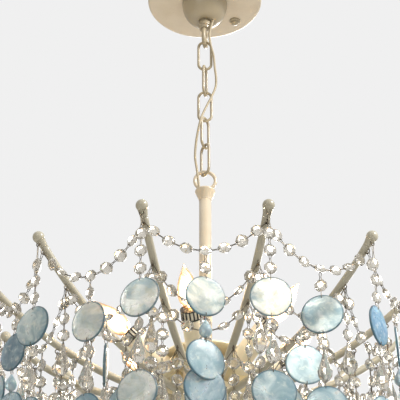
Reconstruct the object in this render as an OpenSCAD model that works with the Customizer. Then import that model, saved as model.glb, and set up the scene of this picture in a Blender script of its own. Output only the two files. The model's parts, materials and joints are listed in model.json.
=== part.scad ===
// Chain-hung chandelier: twelve curved arms carry swags of octagon crystals and hanging glass discs.
// Millimetres. The origin is the middle of the ceiling face, +Z is up, and -Y faces the viewer.
// Azimuths are measured from -Y towards +X. Heights of the lamp's own pieces are given from the
// plane through the centres of the arms' ball tips.

/* [Canopy] */
// Diameter of the ceiling canopy
canopy_d = 152; // [120:1:180]
// Depth of the ceiling canopy
canopy_h = 25; // [20:1:40]
// Distance between the two ceiling screws
screw_spacing = 60; // [50:1:70]
// Distance of each canopy nut from the centre
nut_radius = 55; // [50:1:58]

/* [Chain] */
// Number of links between the canopy loop and the lamp
link_count = 5; // [5:1:5]
// Outer length of a link
link_length = 48; // [44:1:52]
// Outer width of a link
link_width = 20; // [18:1:22]
// Diameter of the link wire
link_wire = 3.6; // [3:0.1:4]

/* [Frame] */
// Number of curved arms
arm_count = 12; // [12:1:12]
// Radius of the circle through the ball tips
crown_r = 250; // [240:1:260]
// Diameter of an arm
arm_d = 8.5; // [7:0.5:9]
// Diameter of a ball tip
ball_d = 13; // [11:0.5:15]
// Diameter of the centre stem
stem_d = 15; // [13:0.5:17]

/* [Crystals] */
// Diameter of an octagon crystal across its corners
bead_d = 14; // [12:0.5:15]
// Distance between neighbouring crystals on a strand
bead_pitch = 19.6; // [19:0.1:20]
// Diameter of a glass disc
disc_d = 44; // [38:1:46]
// Thickness of a glass disc
disc_t = 2.6; // [2:0.1:3]

/* [Candles] */
// Number of candle lamps
candle_count = 6; // [6:1:6]
// Rise of the candles above the horizontal, in degrees
candle_rise = 39; // [36:1:42]
// Diameter of a candle sleeve
sleeve_d = 24; // [22:0.5:26]

/* [Hidden] */
$fn = 64;

// Canopy and its fixings, downwards from the ceiling
wall = 1.2;
bar_t = 1.6;
bar_w = 18;
bar_length = 118;
screw_hole_r = 2.5;
stud_r = 2;
nut_azimuth = 132;
nut_d = 14.5;
nut_h = 7;
nipple_r = 5;
boss_r = 30;
boss_h = 31;
collar_r = 8.5;
collar_h = 13;
boss_bottom = -canopy_h - boss_h;
collar_bottom = boss_bottom - collar_h;
loop_wire = 5.5;
loop_length = 30;
loop_turn = 80;
loop_width = 24;
loop_bottom = collar_bottom + 1 - loop_length;

// Chain: each link hangs on the wire below it with a small running gap
wire_gap = 0.3;
link_step = link_length - 2 * link_wire - wire_gap;
loop_pivot = loop_bottom + loop_wire / 2;
link_1_centre = loop_pivot + loop_wire / 2 + wire_gap + link_wire - link_length / 2;
link_turns = [0, 76, 0, 58, 125];
last_pivot = link_1_centre - (link_count - 1) * link_step - link_length / 2 + link_wire / 2;
stem_ring_d = 30;
stem_ring_wire = 4.5;
stem_ring_z = last_pivot + (link_wire + stem_ring_wire) / 2 + wire_gap
    - (stem_ring_d - stem_ring_wire) / 2;

// Stem and hub
ferrule_top = stem_ring_z - stem_ring_d / 2 + 1;
ferrule_bottom = ferrule_top - 15;
ferrule_r = 12.5;
tips_z = -486;
hub_top = tips_z - 62;
hub_step = tips_z - 100;
hub_bottom = tips_z - 126;
hub_neck_r = 26;
hub_r = 38;
hub_wall = 4;
cover_h = 16;
cover_r = 50;
cover_plate = 3;

// Arms: an arc in an upright plane, from the hub to the ball tip
arc_rho = 370;
arc_start = 8;
arc_end = 47;
arc_r0 = crown_r - arc_rho * sin(arc_end);
arc_z0 = arc_rho * cos(arc_end);
tip_length = 12;
tip_angle = arc_end - atan(tip_length / arc_rho);
first_arm = 15;
arm_step = 360 / arm_count;

// Hooks: the crown's swags hang on the first row, and the inner swags on the next three
hook_rows = [243, 209, 171, 115];
inner_row = 72;
hook_r = 2.6;
hook_wire_r = 0.6;

// Swags: beads on each strand, and its length from hook to hook
swag_beads = [7, 7, 5, 3];
swag_lengths = [147, 154, 116, 84];
// The crown's swags differ a little, each cut and pinned by hand
crown_lengths = [152, 147, 150, 155, 149, 152, 147, 156, 150, 153, 162, 147];
bead_t = 6;
pin_d = 1;
bead_flat = bead_d * cos(22.5) / 2;

// How far each drop has turned on its wire, in degrees, from the first azimuth round to the last
tip_turns = [-18, 5, 20, -25, 8, 30, -18, 10, -30, 15, 5, -12];
swag_turns = [-35, 30, -20, 15, -35, 10, 24, -12, 32, 22, -8, 28];
// Turns of the second row's strands below its swags
tier_2_turns = [-15, 12, -40, 10, 45, -14, 40, -10, 35, 15, -56, 10];

// Candles: distances along the candle's own axis from its foot in the hub
candle_first = -10;
candle_foot_r = 22;
candle_foot_z = -100.5;
stub_r = 5;
cup_at = 24;
cup_h = 13;
cup_r = 18;
sleeve_at = cup_at + cup_h;
sleeve_length = 44;
holder_r = 10;
holder_at = sleeve_at;
holder_length = sleeve_length + 12;
cap_r = 6.8;
glass_at = holder_at + holder_length;
glass_length = 54;
glass_r = 10;
glass_foot_r = 5;
glass_wall = 0.8;

// Supply cable: its route beside and through the chain
cable_r = 1.5;
cable_sides = 8;
cable_route = [
    [11, -4, -40], [11, -4, -54], [8.8, -5.6, -66], [6.2, -5, -80], [7.4, -4.4, -96],
    [11.2, -3.4, -114], [12.8, -2.8, -133], [14.4, -2.6, -150], [13.6, -3.2, -165], [8.2, -5.2, -182],
    [2.9, -6.6, -195], [-1.6, -9.6, -208], [-5.2, -11.6, -220], [-9, -9.6, -238], [-11.6, -6.6, -256],
    [-12.4, -5.6, -274], [-10.4, -6.6, -291], [-8.6, -8, -308], [-7.2, -8, -322.5]
];

// Bottom finial and ball
finial_h = 26;
finial_bottom = hub_bottom - finial_h;
crystal_ball_r = 20;
ball_drop_beads = 7;

function arm_theta(r) = asin((r - arc_r0) / arc_rho);
function arm_z(r) = arc_z0 - arc_rho * cos(arm_theta(r));
function hook_z(r) = arm_z(r) - (arm_d / 2) / cos(arm_theta(r)) - hook_r + 0.4;

// Catenary of a given span and length: its parameter is found by halving an interval
function cosh(x) = (exp(x) + exp(-x)) / 2;
function sinh(x) = (exp(x) - exp(-x)) / 2;
function asinh(x) = ln(x + sqrt(x * x + 1));
function slack(a, span, length) = 2 * a * sinh(span / (2 * a)) - length;
function catenary(span, length, low = 5, high = 2000, turns = 40) =
    let (mid = (low + high) / 2)
    turns == 0 ? mid
    : slack(mid, span, length) > 0 ? catenary(span, length, mid, high, turns - 1)
    : catenary(span, length, low, mid, turns - 1);
function sag(a, span) = a * (cosh(span / (2 * a)) - 1);
// A point of the catenary at distance s from its lowest point, as [sideways, up]
function on_catenary(a, s) = [a * asinh(s / a), sqrt(a * a + s * s) - a];

function swag_span(row) = 2 * hook_rows[row] * sin(arm_step / 2);
function swag_plane(row) = hook_rows[row] * cos(arm_step / 2);
function swag_length(row) = row == 0 ? crown_lengths[$bay] : swag_lengths[row];
function swag_a(row) = catenary(swag_span(row), swag_length(row));
function swag_low(row) = hook_z(hook_rows[row]) - sag(swag_a(row), swag_span(row));
function bead_offset(row, i) = (i - (swag_beads[row] - 1) / 2) * bead_pitch;

module polar(azimuth) rotate([0, 0, azimuth - 90]) children();
module lamp() translate([0, 0, tips_z]) children();

// A straight rod between two points
module rod(p, q, d) {
    v = q - p;
    length = norm(v);
    translate(p) rotate([0, acos(v[2] / length), atan2(v[1], v[0])])
        cylinder(h = length, d = d, $fn = 16);
}

// A closed ring in the XZ plane
module ring(r, wire_r) rotate([90, 0, 0]) rotate_extrude($fn = 32) translate([r, 0]) circle(r = wire_r, $fn = 24);

// An oval chain link in the XZ plane, centred
module oval_link(length, width, wire) {
    bend = (width - wire) / 2;
    half = length / 2 - width / 2;
    for (side = [-1, 1]) {
        translate([side * bend, 0, -half]) cylinder(h = 2 * half, d = wire);
        translate([0, 0, side * half]) rotate([90, side == 1 ? 0 : 180, 0])
            rotate_extrude(angle = 180) translate([bend, 0]) circle(d = wire);
    }
}

module ceiling_bracket() color("lightgrey") difference() {
    translate([-bar_length / 2, -bar_w / 2, -bar_t]) cube([bar_length, bar_w, bar_t]);
    for (side = [-1, 1]) translate([side * screw_spacing / 2, 0, -2 * bar_t])
        cylinder(h = 3 * bar_t, r = screw_hole_r);
    translate([0, 0, -2 * bar_t]) cylinder(h = 3 * bar_t, r = nipple_r + 0.5);
}

module stud_bar() color("lightgrey") polar(nut_azimuth) {
    difference() {
        translate([-nut_radius - 8, -bar_w / 2, -2 * bar_t])
            cube([2 * nut_radius + 16, bar_w, bar_t]);
        translate([0, 0, -3 * bar_t]) cylinder(h = 3 * bar_t, r = nipple_r + 0.5);
    }
    for (side = [-1, 1]) translate([side * nut_radius, 0, -canopy_h - nut_h + 2])
        cylinder(h = canopy_h + nut_h - 2 - 2 * bar_t, r = stud_r);
}

module canopy_nuts() color("wheat") polar(nut_azimuth)
    for (side = [-1, 1]) translate([side * nut_radius, 0, -canopy_h - nut_h]) difference() {
        union() {
            translate([0, 0, nut_h - 2]) cylinder(h = 2, d = nut_d);
            translate([0, 0, nut_h - 4]) cylinder(h = 2, d1 = nut_d - 3, d2 = nut_d - 1);
            translate([0, 0, nut_h - 4]) intersection() {
                sphere(d = nut_d - 3);
                translate([0, 0, -nut_d]) cylinder(h = nut_d, d = nut_d);
            }
        }
        translate([0, 0, 2]) cylinder(h = nut_h, r = stud_r);
    }

module nipple_nut() color("silver") translate([0, 0, -2 * bar_t - 5]) difference() {
    cylinder(h = 5, r = 9, $fn = 6);
    translate([0, 0, -1]) cylinder(h = 7, r = nipple_r);
}

module canopy() color("wheat") difference() {
    rotate_extrude() polygon(concat(
        [[canopy_d / 2 - wall, 0], [canopy_d / 2, 0]],
        [for (t = [0:15:90]) [canopy_d / 2 - 4 + 4 * cos(t), -canopy_h + 4 - 4 * sin(t)]],
        [[0, -canopy_h], [0, -canopy_h + wall], [canopy_d / 2 - 4, -canopy_h + wall]],
        [[canopy_d / 2 - wall, -canopy_h + 4]]
    ));
    translate([0, 0, -canopy_h - 1]) cylinder(h = wall + 2, r = nipple_r + 0.5);
    translate([11, -4, -canopy_h - 1]) cylinder(h = wall + 2, r = cable_r + 1);
    polar(nut_azimuth) for (side = [-1, 1]) translate([side * nut_radius, 0, -canopy_h - 1])
        cylinder(h = wall + 2, r = stud_r + 0.5);
}

module canopy_boss() color("wheat") translate([0, 0, -canopy_h]) difference() {
    rotate_extrude() polygon(concat(
        [[0, 0], [boss_r, 0]],
        [for (t = [0:15:75]) [12 + (boss_r - 12) * cos(t), -boss_h * sin(t)]],
        [[12, -boss_h], [0, -boss_h]]
    ));
    translate([0, 0, -boss_h - 1]) cylinder(h = boss_h + 2, r = nipple_r + 0.5);
    translate([11, -4, -boss_h - 1]) cylinder(h = boss_h + 2, r = cable_r + 0.5);
}

module loop_collar() color("wheat") translate([0, 0, collar_bottom]) difference() {
    union() {
        cylinder(h = 4, r = collar_r - 1.5);
        translate([0, 0, 4]) cylinder(h = 6, r = collar_r);
        translate([0, 0, 10]) cylinder(h = collar_h - 10, r = collar_r - 1);
    }
    translate([0, 0, -1]) cylinder(h = collar_h + 2, r = nipple_r);
}

module canopy_loop() color("wheat") {
    rotate([0, 0, loop_turn]) translate([0, 0, loop_bottom + loop_length / 2])
        oval_link(loop_length, loop_width, loop_wire);
    translate([0, 0, collar_bottom - 1]) cylinder(h = -2 * bar_t - 5 - collar_bottom + 4, r = nipple_r);
}

module chain_link(n) color("wheat")
    translate([0, 0, link_1_centre - (n - 1) * link_step]) rotate([0, 0, link_turns[n - 1]])
        oval_link(link_length, link_width, link_wire);

// Rings of points square to the route, joined into one closed tube
module supply_cable() color("ivory") {
    last = len(cable_route) - 1;
    points = [for (i = [0:last])
        let (ahead = cable_route[min(i + 1, last)] - cable_route[max(i - 1, 0)])
        let (t = ahead / norm(ahead))
        let (u = cross(t, [0, 1, 0]) / norm(cross(t, [0, 1, 0])), v = cross(t, u))
        for (k = [0:cable_sides - 1]) let (turn = 360 * k / cable_sides)
            cable_route[i] + cable_r * (u * cos(turn) + v * sin(turn))
    ];
    sides = [for (i = [0:last - 1], k = [0:cable_sides - 1]) let (next = (k + 1) % cable_sides)
        [i * cable_sides + k, i * cable_sides + next, (i + 1) * cable_sides + next,
         (i + 1) * cable_sides + k]];
    ends = [[for (k = [cable_sides - 1:-1:0]) k],
            [for (k = [0:cable_sides - 1]) last * cable_sides + k]];
    polyhedron(points = points, faces = concat(sides, ends), convexity = 6);
}

module stem_loop() color("wheat") {
    translate([0, 0, stem_ring_z]) ring((stem_ring_d - stem_ring_wire) / 2, stem_ring_wire / 2);
    translate([0, 0, ferrule_bottom]) cylinder(h = 12.5, r1 = stem_d / 2, r2 = ferrule_r);
    translate([0, 0, ferrule_bottom + 12.5]) cylinder(h = 3, r = ferrule_r);
}

module stem() color("wheat") translate([0, 0, hub_top + cover_h]) difference() {
    cylinder(h = ferrule_bottom - hub_top - cover_h, d = stem_d);
    translate([0, 0, -1]) cylinder(h = ferrule_bottom - hub_top - cover_h - 5, d = stem_d - 3);
}

module hub() color("wheat") difference() {
    rotate_extrude() polygon([
        [0, hub_bottom], [hub_r - 3, hub_bottom], [hub_r, hub_bottom + 3], [hub_r, hub_step - 2],
        [hub_r - 2, hub_step], [hub_neck_r, hub_step], [hub_neck_r, hub_top], [0, hub_top]
    ]);
    translate([0, 0, hub_bottom + hub_wall])
        cylinder(h = hub_top - hub_bottom, r = hub_neck_r - hub_wall);
    translate([0, 0, hub_bottom - 1]) cylinder(h = 2 * hub_wall, r = nipple_r);
}

module hub_cover() color("wheat") translate([0, 0, hub_top]) difference() {
    rotate_extrude() polygon(concat(
        [[0, 0], [cover_r - 1, 0], [cover_r, 1], [cover_r, cover_plate - 1],
         [cover_r - 1, cover_plate]],
        [for (t = [0:15:75]) [stem_d / 2 + 3 + (cover_r - stem_d / 2 - 12) * (1 - sin(t)),
                              cover_plate + (cover_h - cover_plate) * (1 - cos(t))]],
        [[stem_d / 2 + 3, cover_h], [0, cover_h]]
    ));
    translate([0, 0, -1]) cylinder(h = cover_h + 2, r = stem_d / 2 - 1.5);
}

// Everything that repeats on the arms
module each_arm() lamp() for (k = [0:arm_count - 1]) polar(first_arm + k * arm_step) children();

module arm_arc(from, to) translate([arc_r0, 0, arc_z0]) rotate([90, 0, 0])
    rotate([0, 0, from - 90]) rotate_extrude(angle = to - from, $fn = 180)
        translate([arc_rho, 0]) circle(d = arm_d, $fn = 32);

module arms() color("wheat") difference() {
    each_arm() arm_arc(arc_start, tip_angle);
    translate([0, 0, hub_bottom - 10]) cylinder(h = 80, r = hub_r);
}

module ball_tips() color("wheat") each_arm()
    translate([arc_r0 + arc_rho * sin(tip_angle), 0, arc_z0 - arc_rho * cos(tip_angle)])
        rotate([0, 90 - tip_angle, 0]) {
            cylinder(h = tip_length - 3, r1 = arm_d / 2, r2 = ball_d / 2 - 0.7);
            translate([0, 0, tip_length]) sphere(d = ball_d);
        }

tip_ring_z = -ball_d / 2 - hook_r + 0.8;
module arm_hooks() color("tan") each_arm() {
    for (r = concat(hook_rows, [inner_row])) translate([r, 0, hook_z(r)]) ring(hook_r, hook_wire_r);
    translate([crown_r, 0, tip_ring_z]) rotate([0, 0, 90]) ring(hook_r, hook_wire_r);
}

// Candles: six short lamps that rise outwards from the hub
module each_candle() lamp() for (k = [0:candle_count - 1]) polar(candle_first + k * 60)
    translate([candle_foot_r, 0, candle_foot_z]) rotate([0, 90 - candle_rise, 0]) children();

module candle_cups() color("wheat") difference() {
    each_candle() difference() {
        union() {
            cylinder(h = cup_at + 1, r = stub_r);
            translate([0, 0, cup_at]) rotate_extrude() polygon(concat(
                [[0, 0], [6, 0]],
                [for (t = [15:15:90]) [6 + (cup_r - 6) * sin(t), (cup_h - 3) * (1 - cos(t))]],
                [[cup_r, cup_h], [0, cup_h]]
            ));
        }
        translate([0, 0, -1]) cylinder(h = sleeve_at + 2, r = 2.5);
    }
    translate([0, 0, hub_bottom]) cylinder(h = hub_top + cover_h - hub_bottom, r = hub_neck_r);
    translate([0, 0, hub_bottom]) cylinder(h = hub_step - hub_bottom, r = hub_r);
}

module candle_sleeves() color("ivory") each_candle() translate([0, 0, sleeve_at]) difference() {
    cylinder(h = sleeve_length, d = sleeve_d);
    translate([0, 0, -1]) cylinder(h = sleeve_length + 2, d = sleeve_d - 3);
}

module lampholders() color("dimgrey") each_candle() translate([0, 0, holder_at]) difference() {
    union() {
        cylinder(h = holder_length, r = holder_r);
        translate([0, 0, sleeve_length]) cylinder(h = holder_length - sleeve_length, r = sleeve_d / 2);
    }
    translate([0, 0, 8]) cylinder(h = holder_length, r = cap_r + 0.4);
}

module bulb_caps() color("gold") each_candle() translate([0, 0, glass_at - 26]) {
    cylinder(h = 3, r1 = 2.5, r2 = 4.5);
    translate([0, 0, 3]) cylinder(h = 23, r = cap_r);
}

// Half-width of the flame bulb at a share of its length: full low down, drawn to a point above
function flame_r(t) = glass_foot_r * (1 - t) + glass_r * sin(180 * pow(t, 0.8)) * (1 - 0.25 * t);
function flame_outline(inset) = [for (t = [0:0.05:0.95])
    [max(flame_r(t) - inset, 0.6), t * glass_length]];
module bulb_glass() color("lightyellow", 0.5) each_candle() translate([0, 0, glass_at]) difference() {
    rotate_extrude() polygon(concat([[0, 0]], flame_outline(0), [[0, glass_length]]));
    rotate_extrude() polygon(concat([[0, 2], [3, 2]],
        [for (p = flame_outline(glass_wall)) if (p[1] > 2 && p[1] < glass_length * 0.93) p],
        [[0, glass_length * 0.94]]));
}

module bulb_filaments() color("orange") each_candle() translate([0, 0, glass_at + 2]) {
    cylinder(h = 14, r = 2.5);
    for (turn = [0:90:270]) rotate([0, 0, turn]) translate([3.2, 0, 12]) rotate([0, 8, 0])
        cylinder(h = 20, r = 0.7, $fn = 16);
}

// An octagon crystal that faces outwards, with its flats up and down
module bead() rotate([0, 90, 0]) rotate([0, 0, 22.5])
    cylinder(h = bead_t, d = bead_d, center = true, $fn = 8);

module swag(row) for (i = [0:swag_beads[row] - 1]) {
    s = bead_offset(row, i);
    at = on_catenary(swag_a(row), s);
    translate([swag_plane(row), at[0], swag_low(row) + at[1]])
        rotate([atan(s / swag_a(row)), 0, 0]) bead();
}

module swag_pin_row(row) {
    a = swag_a(row);
    ends = [for (i = [-1:swag_beads[row]]) bead_offset(row, i)];
    limit = swag_length(row) / 2 - 2;
    for (i = [0:len(ends) - 2]) {
        from = i == 0 ? -limit : ends[i] + bead_flat;
        to = i == len(ends) - 2 ? limit : ends[i + 1] - bead_flat;
        p = on_catenary(a, from);
        q = on_catenary(a, to);
        rod([swag_plane(row), p[0], swag_low(row) + p[1]],
            [swag_plane(row), q[0], swag_low(row) + q[1]], pin_d);
    }
}

module each_bay() lamp() for ($bay = [0:arm_count - 1]) polar(first_arm + ($bay + 0.5) * arm_step) children();
module crown_swag_beads() color("lavender") each_bay() swag(0);
module inner_swag_beads() color("lavender") each_bay() for (row = [1:3]) swag(row);
module swag_pins() color("dimgrey") each_bay() for (row = [0:3]) swag_pin_row(row);

// A glass disc that faces outwards
module disc(forward = 0) translate([forward, 0, 0]) rotate([0, 90, 0])
    cylinder(h = disc_t, d = disc_d, center = true, $fn = 64);

// A drawn crystal drop, hung by its point
module teardrop(length, d) rotate_extrude($fn = 32) polygon([
    [0, 0], [0.8, 0], [1.4, -length * 0.2], [d * 0.5, -length * 0.68], [d * 0.42, -length * 0.86],
    [d * 0.2, -length * 0.97], [0, -length]
]);

module wire(top, bottom) translate([0, 0, bottom]) cylinder(h = top - bottom, d = pin_d, $fn = 16);

// Strands below one hook: heights are below the hook, and the wire ends inside the last piece
module strand(beads, discs, drop_at, drop_length, drop_d, top = -3, pendant = 0) {
    for (z = beads) translate([0, 0, z]) bead();
    for (z = discs) translate([0, 0, z]) disc();
    if (pendant != 0) translate([0, 0, pendant]) teardrop(39, 15);
    translate([0, 0, drop_at]) teardrop(drop_length, drop_d);
    wire(top, drop_at - 2);
}

// Drops of the crown: each swings on its own ring or on the middle crystal of its swag
tip_pivot = tip_ring_z - hook_r;
module tip_drop(n) color("powderblue") lamp() polar(first_arm + (n - 1) * arm_step)
    translate([crown_r, 0, 0]) {
        translate([0, 0, tip_pivot + 2 * hook_wire_r + 0.2 - hook_r]) ring(hook_r, hook_wire_r);
        for (z = [-33, -52.7, -72.9]) translate([0, 0, z]) bead();
        rotate([0, 0, tip_turns[n - 1]]) {
            wire(tip_pivot + 1.4 - 2 * hook_r + 0.2, -204);
            translate([0, 0, -134.5]) bead();
            translate([0, 0, -143.5]) teardrop(34, 15);
            for (z = [-105, -205]) translate([0, 0, z]) disc();
        }
    }

module swag_drop(n) color("powderblue") lamp() polar(first_arm + (n - 0.5) * arm_step) {
    $bay = n - 1;
    translate([swag_plane(0), 0, swag_low(0)]) rotate([0, 0, swag_turns[n - 1]]) {
        wire(-bead_flat - wire_gap, n % 2 == 0 ? -120 : -151);
        translate([0, 0, -19.5]) bead();
        translate([0, 0, -52]) disc();
        if (n % 2 == 0) {
            translate([0, 0, -75]) teardrop(22.5, 13);
            translate([0, 0, -120]) disc();
            translate([0, 0, -148]) disc(forward = 0.1 - disc_t);
        } else {
            translate([0, 0, -84]) bead();
            translate([0, 0, -93]) teardrop(34, 15);
            translate([0, 0, -152]) disc();
        }
    }
}

// Strands of the inner rows, one below each hook and one below each swag's middle crystal
module below_hooks(r) each_arm() translate([r, 0, hook_z(r)]) children();
module below_swags(row) each_bay() translate([swag_plane(row), 0, swag_low(row)]) children();

module tier_2_drops() color("lightblue") {
    below_hooks(hook_rows[1]) strand([-18, -37, -56, -112, -131], [], -140, 46, 14, pendant = -64);
    below_swags(1) rotate([0, 0, tier_2_turns[$bay]])
        strand($bay % 2 == 0 ? [-19.6, -86] : [-19.6, -39, -58.5, -86],
            $bay % 2 == 0 ? [-53] : [], -98, 46, 14, -bead_flat - 0.2);
}

module tier_3_drops() color("lightblue") {
    below_hooks(hook_rows[2]) strand([-18, -37, -56, -75, -131, -150], [], -159, 46, 14, pendant = -83);
    below_swags(2) strand([-19.6, -39, -105], [-72], -117, 46, 14, -bead_flat - 0.2);
}

module tier_4_drops() color("lightblue") {
    below_hooks(hook_rows[3]) strand([-18, -37, -56, -75, -94, -160], [-127], -172, 40, 13);
    below_swags(3) strand([-19.6, -39, -58, -78, -98, -118], [], -130, 40, 13, -bead_flat - 0.2);
    below_hooks(inner_row) strand([for (i = [0:8]) -18 - i * 19.6], [], -187, 50, 14);
}

module bottom_finial() color("wheat") {
    difference() {
        translate([0, 0, hub_bottom]) rotate_extrude() polygon([
            [0, 0], [16, 0], [18, -3], [17, -7], [9, -12], [7, -16], [8.5, -19], [6, -23],
            [0, -finial_h]
        ]);
        translate([0, 0, hub_bottom - 8]) cylinder(h = 9, r = 2);
    }
    translate([0, 0, finial_bottom - hook_r + 0.8]) ring(hook_r, hook_wire_r);
}

finial_pivot = finial_bottom + 0.8 - 2 * hook_r;
module ball_drop() color("powderblue") translate([0, 0, finial_pivot]) {
    translate([0, 0, 2 * hook_wire_r + 0.2 - hook_r]) rotate([0, 0, 90]) ring(hook_r, hook_wire_r);
    for (i = [1:ball_drop_beads]) translate([0, 0, -i * bead_pitch]) bead();
    wire(1.6 - 2 * hook_r, -(ball_drop_beads + 1) * bead_pitch - 4);
    translate([0, 0, -(ball_drop_beads + 1) * bead_pitch - crystal_ball_r + 2])
        sphere(r = crystal_ball_r);
}

ceiling_bracket();
stud_bar();
canopy_nuts();
nipple_nut();
canopy();
canopy_boss();
loop_collar();
canopy_loop();
chain_link(1);  // chain_link_1
chain_link(2);  // chain_link_2
chain_link(3);  // chain_link_3
chain_link(4);  // chain_link_4
chain_link(5);  // chain_link_5
supply_cable();
stem_loop();
stem();
hub();
hub_cover();
arms();
ball_tips();
arm_hooks();
candle_cups();
candle_sleeves();
lampholders();
bulb_caps();
bulb_glass();
bulb_filaments();
crown_swag_beads();
inner_swag_beads();
swag_pins();
tip_drop(1);  // tip_drop_01
tip_drop(2);  // tip_drop_02
tip_drop(3);  // tip_drop_03
tip_drop(4);  // tip_drop_04
tip_drop(5);  // tip_drop_05
tip_drop(6);  // tip_drop_06
tip_drop(7);  // tip_drop_07
tip_drop(8);  // tip_drop_08
tip_drop(9);  // tip_drop_09
tip_drop(10);  // tip_drop_10
tip_drop(11);  // tip_drop_11
tip_drop(12);  // tip_drop_12
swag_drop(1);  // swag_drop_01
swag_drop(2);  // swag_drop_02
swag_drop(3);  // swag_drop_03
swag_drop(4);  // swag_drop_04
swag_drop(5);  // swag_drop_05
swag_drop(6);  // swag_drop_06
swag_drop(7);  // swag_drop_07
swag_drop(8);  // swag_drop_08
swag_drop(9);  // swag_drop_09
swag_drop(10);  // swag_drop_10
swag_drop(11);  // swag_drop_11
swag_drop(12);  // swag_drop_12
tier_2_drops();
tier_3_drops();
tier_4_drops();
bottom_finial();
ball_drop();
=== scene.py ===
# %% [markdown]
# # A chain-hung chandelier
#
# Twelve curved iron arms, painted cream, rise from a hub to ball tips. Swags of octagon crystals run from arm
# to arm, and mottled aqua glass discs hang below them on thin wire pins. Six candle lamps light it from
# inside. The working frame, with its joints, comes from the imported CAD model. This file adds the looks.

import json
import math

import bpy
import numpy as np
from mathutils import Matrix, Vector


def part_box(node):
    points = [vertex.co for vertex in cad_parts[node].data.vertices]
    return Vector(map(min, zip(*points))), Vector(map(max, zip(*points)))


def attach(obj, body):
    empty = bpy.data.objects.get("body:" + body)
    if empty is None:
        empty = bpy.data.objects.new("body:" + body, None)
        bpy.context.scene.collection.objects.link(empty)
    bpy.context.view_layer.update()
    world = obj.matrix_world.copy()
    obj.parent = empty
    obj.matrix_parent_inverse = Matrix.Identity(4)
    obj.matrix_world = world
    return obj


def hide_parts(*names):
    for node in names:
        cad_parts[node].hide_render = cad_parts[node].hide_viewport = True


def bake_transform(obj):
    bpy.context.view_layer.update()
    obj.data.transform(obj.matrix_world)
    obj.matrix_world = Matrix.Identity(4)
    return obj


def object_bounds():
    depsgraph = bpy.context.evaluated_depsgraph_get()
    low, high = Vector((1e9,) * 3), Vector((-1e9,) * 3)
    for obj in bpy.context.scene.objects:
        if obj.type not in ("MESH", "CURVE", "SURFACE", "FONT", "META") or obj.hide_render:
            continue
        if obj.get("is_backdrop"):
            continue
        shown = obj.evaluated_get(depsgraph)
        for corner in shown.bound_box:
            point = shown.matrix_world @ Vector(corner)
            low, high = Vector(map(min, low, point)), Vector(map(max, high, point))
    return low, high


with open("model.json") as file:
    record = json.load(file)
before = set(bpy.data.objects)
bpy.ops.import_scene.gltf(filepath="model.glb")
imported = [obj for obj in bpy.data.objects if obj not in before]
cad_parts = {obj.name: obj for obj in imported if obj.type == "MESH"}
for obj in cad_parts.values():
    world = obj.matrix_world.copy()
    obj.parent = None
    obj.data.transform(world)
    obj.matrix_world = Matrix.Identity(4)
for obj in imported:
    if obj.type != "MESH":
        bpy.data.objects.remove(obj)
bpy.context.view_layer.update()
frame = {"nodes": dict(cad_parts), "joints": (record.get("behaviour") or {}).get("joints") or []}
MM = 0.001
CROWN_Z = -0.486  # the height of the ball tips; the ceiling is at 0
joints = {joint["name"]: joint for joint in frame["joints"]}

# %% [markdown]
# ## Where the viewer stands
#
# The lamp hangs from the ceiling and is seen from below, so the camera stands in front of it, lower than its
# crown, and looks up. A long lens keeps the circles of the crown and the canopy as flat ellipses.

# %% Camera
CAMERA_DISTANCE = 1.464
CAMERA_DROP = 0.737
LENS_MM = 125.8
LOOK_UP = 31.3
LOOK_LEFT = 0.25

camera_data = bpy.data.cameras.new("camera")
camera_data.lens = LENS_MM
camera_data.sensor_width = 36
camera_data.clip_end = 50
camera = bpy.data.objects.new("camera", camera_data)
camera.location = (0, -CAMERA_DISTANCE, CROWN_Z - CAMERA_DROP)
camera.rotation_euler = (math.radians(90 + LOOK_UP), 0, math.radians(LOOK_LEFT))
bpy.context.scene.collection.objects.link(camera)
bpy.context.scene.camera = camera

# %% [markdown]
# ## Shapes as arrays
#
# Each surface here is worked out with numpy: a small mesh is held as points, triangles and four-sided faces,
# so that hundreds of crystals can be copied and joined as whole arrays before Blender sees them.


# %% A surface held as arrays
class Surface:
    """Points with triangles and quads that join them, and named numbers kept for each point."""

    def __init__(self, points, tris=None, quads=None, **marks):
        self.points = np.asarray(points, float).reshape(-1, 3)
        self.tris = np.zeros((0, 3), int) if tris is None else np.asarray(tris, int).reshape(-1, 3)
        self.quads = np.zeros((0, 4), int) if quads is None else np.asarray(quads, int).reshape(-1, 4)
        self.marks = {
            key: np.broadcast_to(value, len(self.points)).astype(float) for key, value in marks.items()
        }

    def moved(self, matrix=None, offset=(0, 0, 0)):
        """Each point is turned by the matrix and then shifted."""
        turn = np.eye(3) if matrix is None else np.asarray(matrix)
        return Surface(self.points @ turn.T + np.asarray(offset), self.tris, self.quads, **self.marks)

    def copies(self, matrices, offsets, **marks):
        """One copy for each matrix and offset; marks gives each copy its own number."""
        count, size = len(offsets), len(self.points)
        points = np.einsum("nij,vj->nvi", np.asarray(matrices), self.points) + np.asarray(offsets)[:, None]
        step = (np.arange(count) * size)[:, None, None]
        kept = {key: np.tile(value, count) for key, value in self.marks.items()}
        kept.update({key: np.repeat(np.asarray(value, float), size) for key, value in marks.items()})
        return Surface(points, self.tris[None] + step, self.quads[None] + step, **kept)


def joined(surfaces):
    """Several surfaces as one: points follow each other, and faces count on from them."""
    starts = np.cumsum([0] + [len(s.points) for s in surfaces])
    keys = set().union(*(s.marks for s in surfaces))
    return Surface(
        np.concatenate([s.points for s in surfaces]),
        np.concatenate([s.tris + start for s, start in zip(surfaces, starts)]),
        np.concatenate([s.quads + start for s, start in zip(surfaces, starts)]),
        **{key: np.concatenate([s.marks.get(key, np.zeros(len(s.points))) for s in surfaces]) for key in keys},
    )


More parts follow.
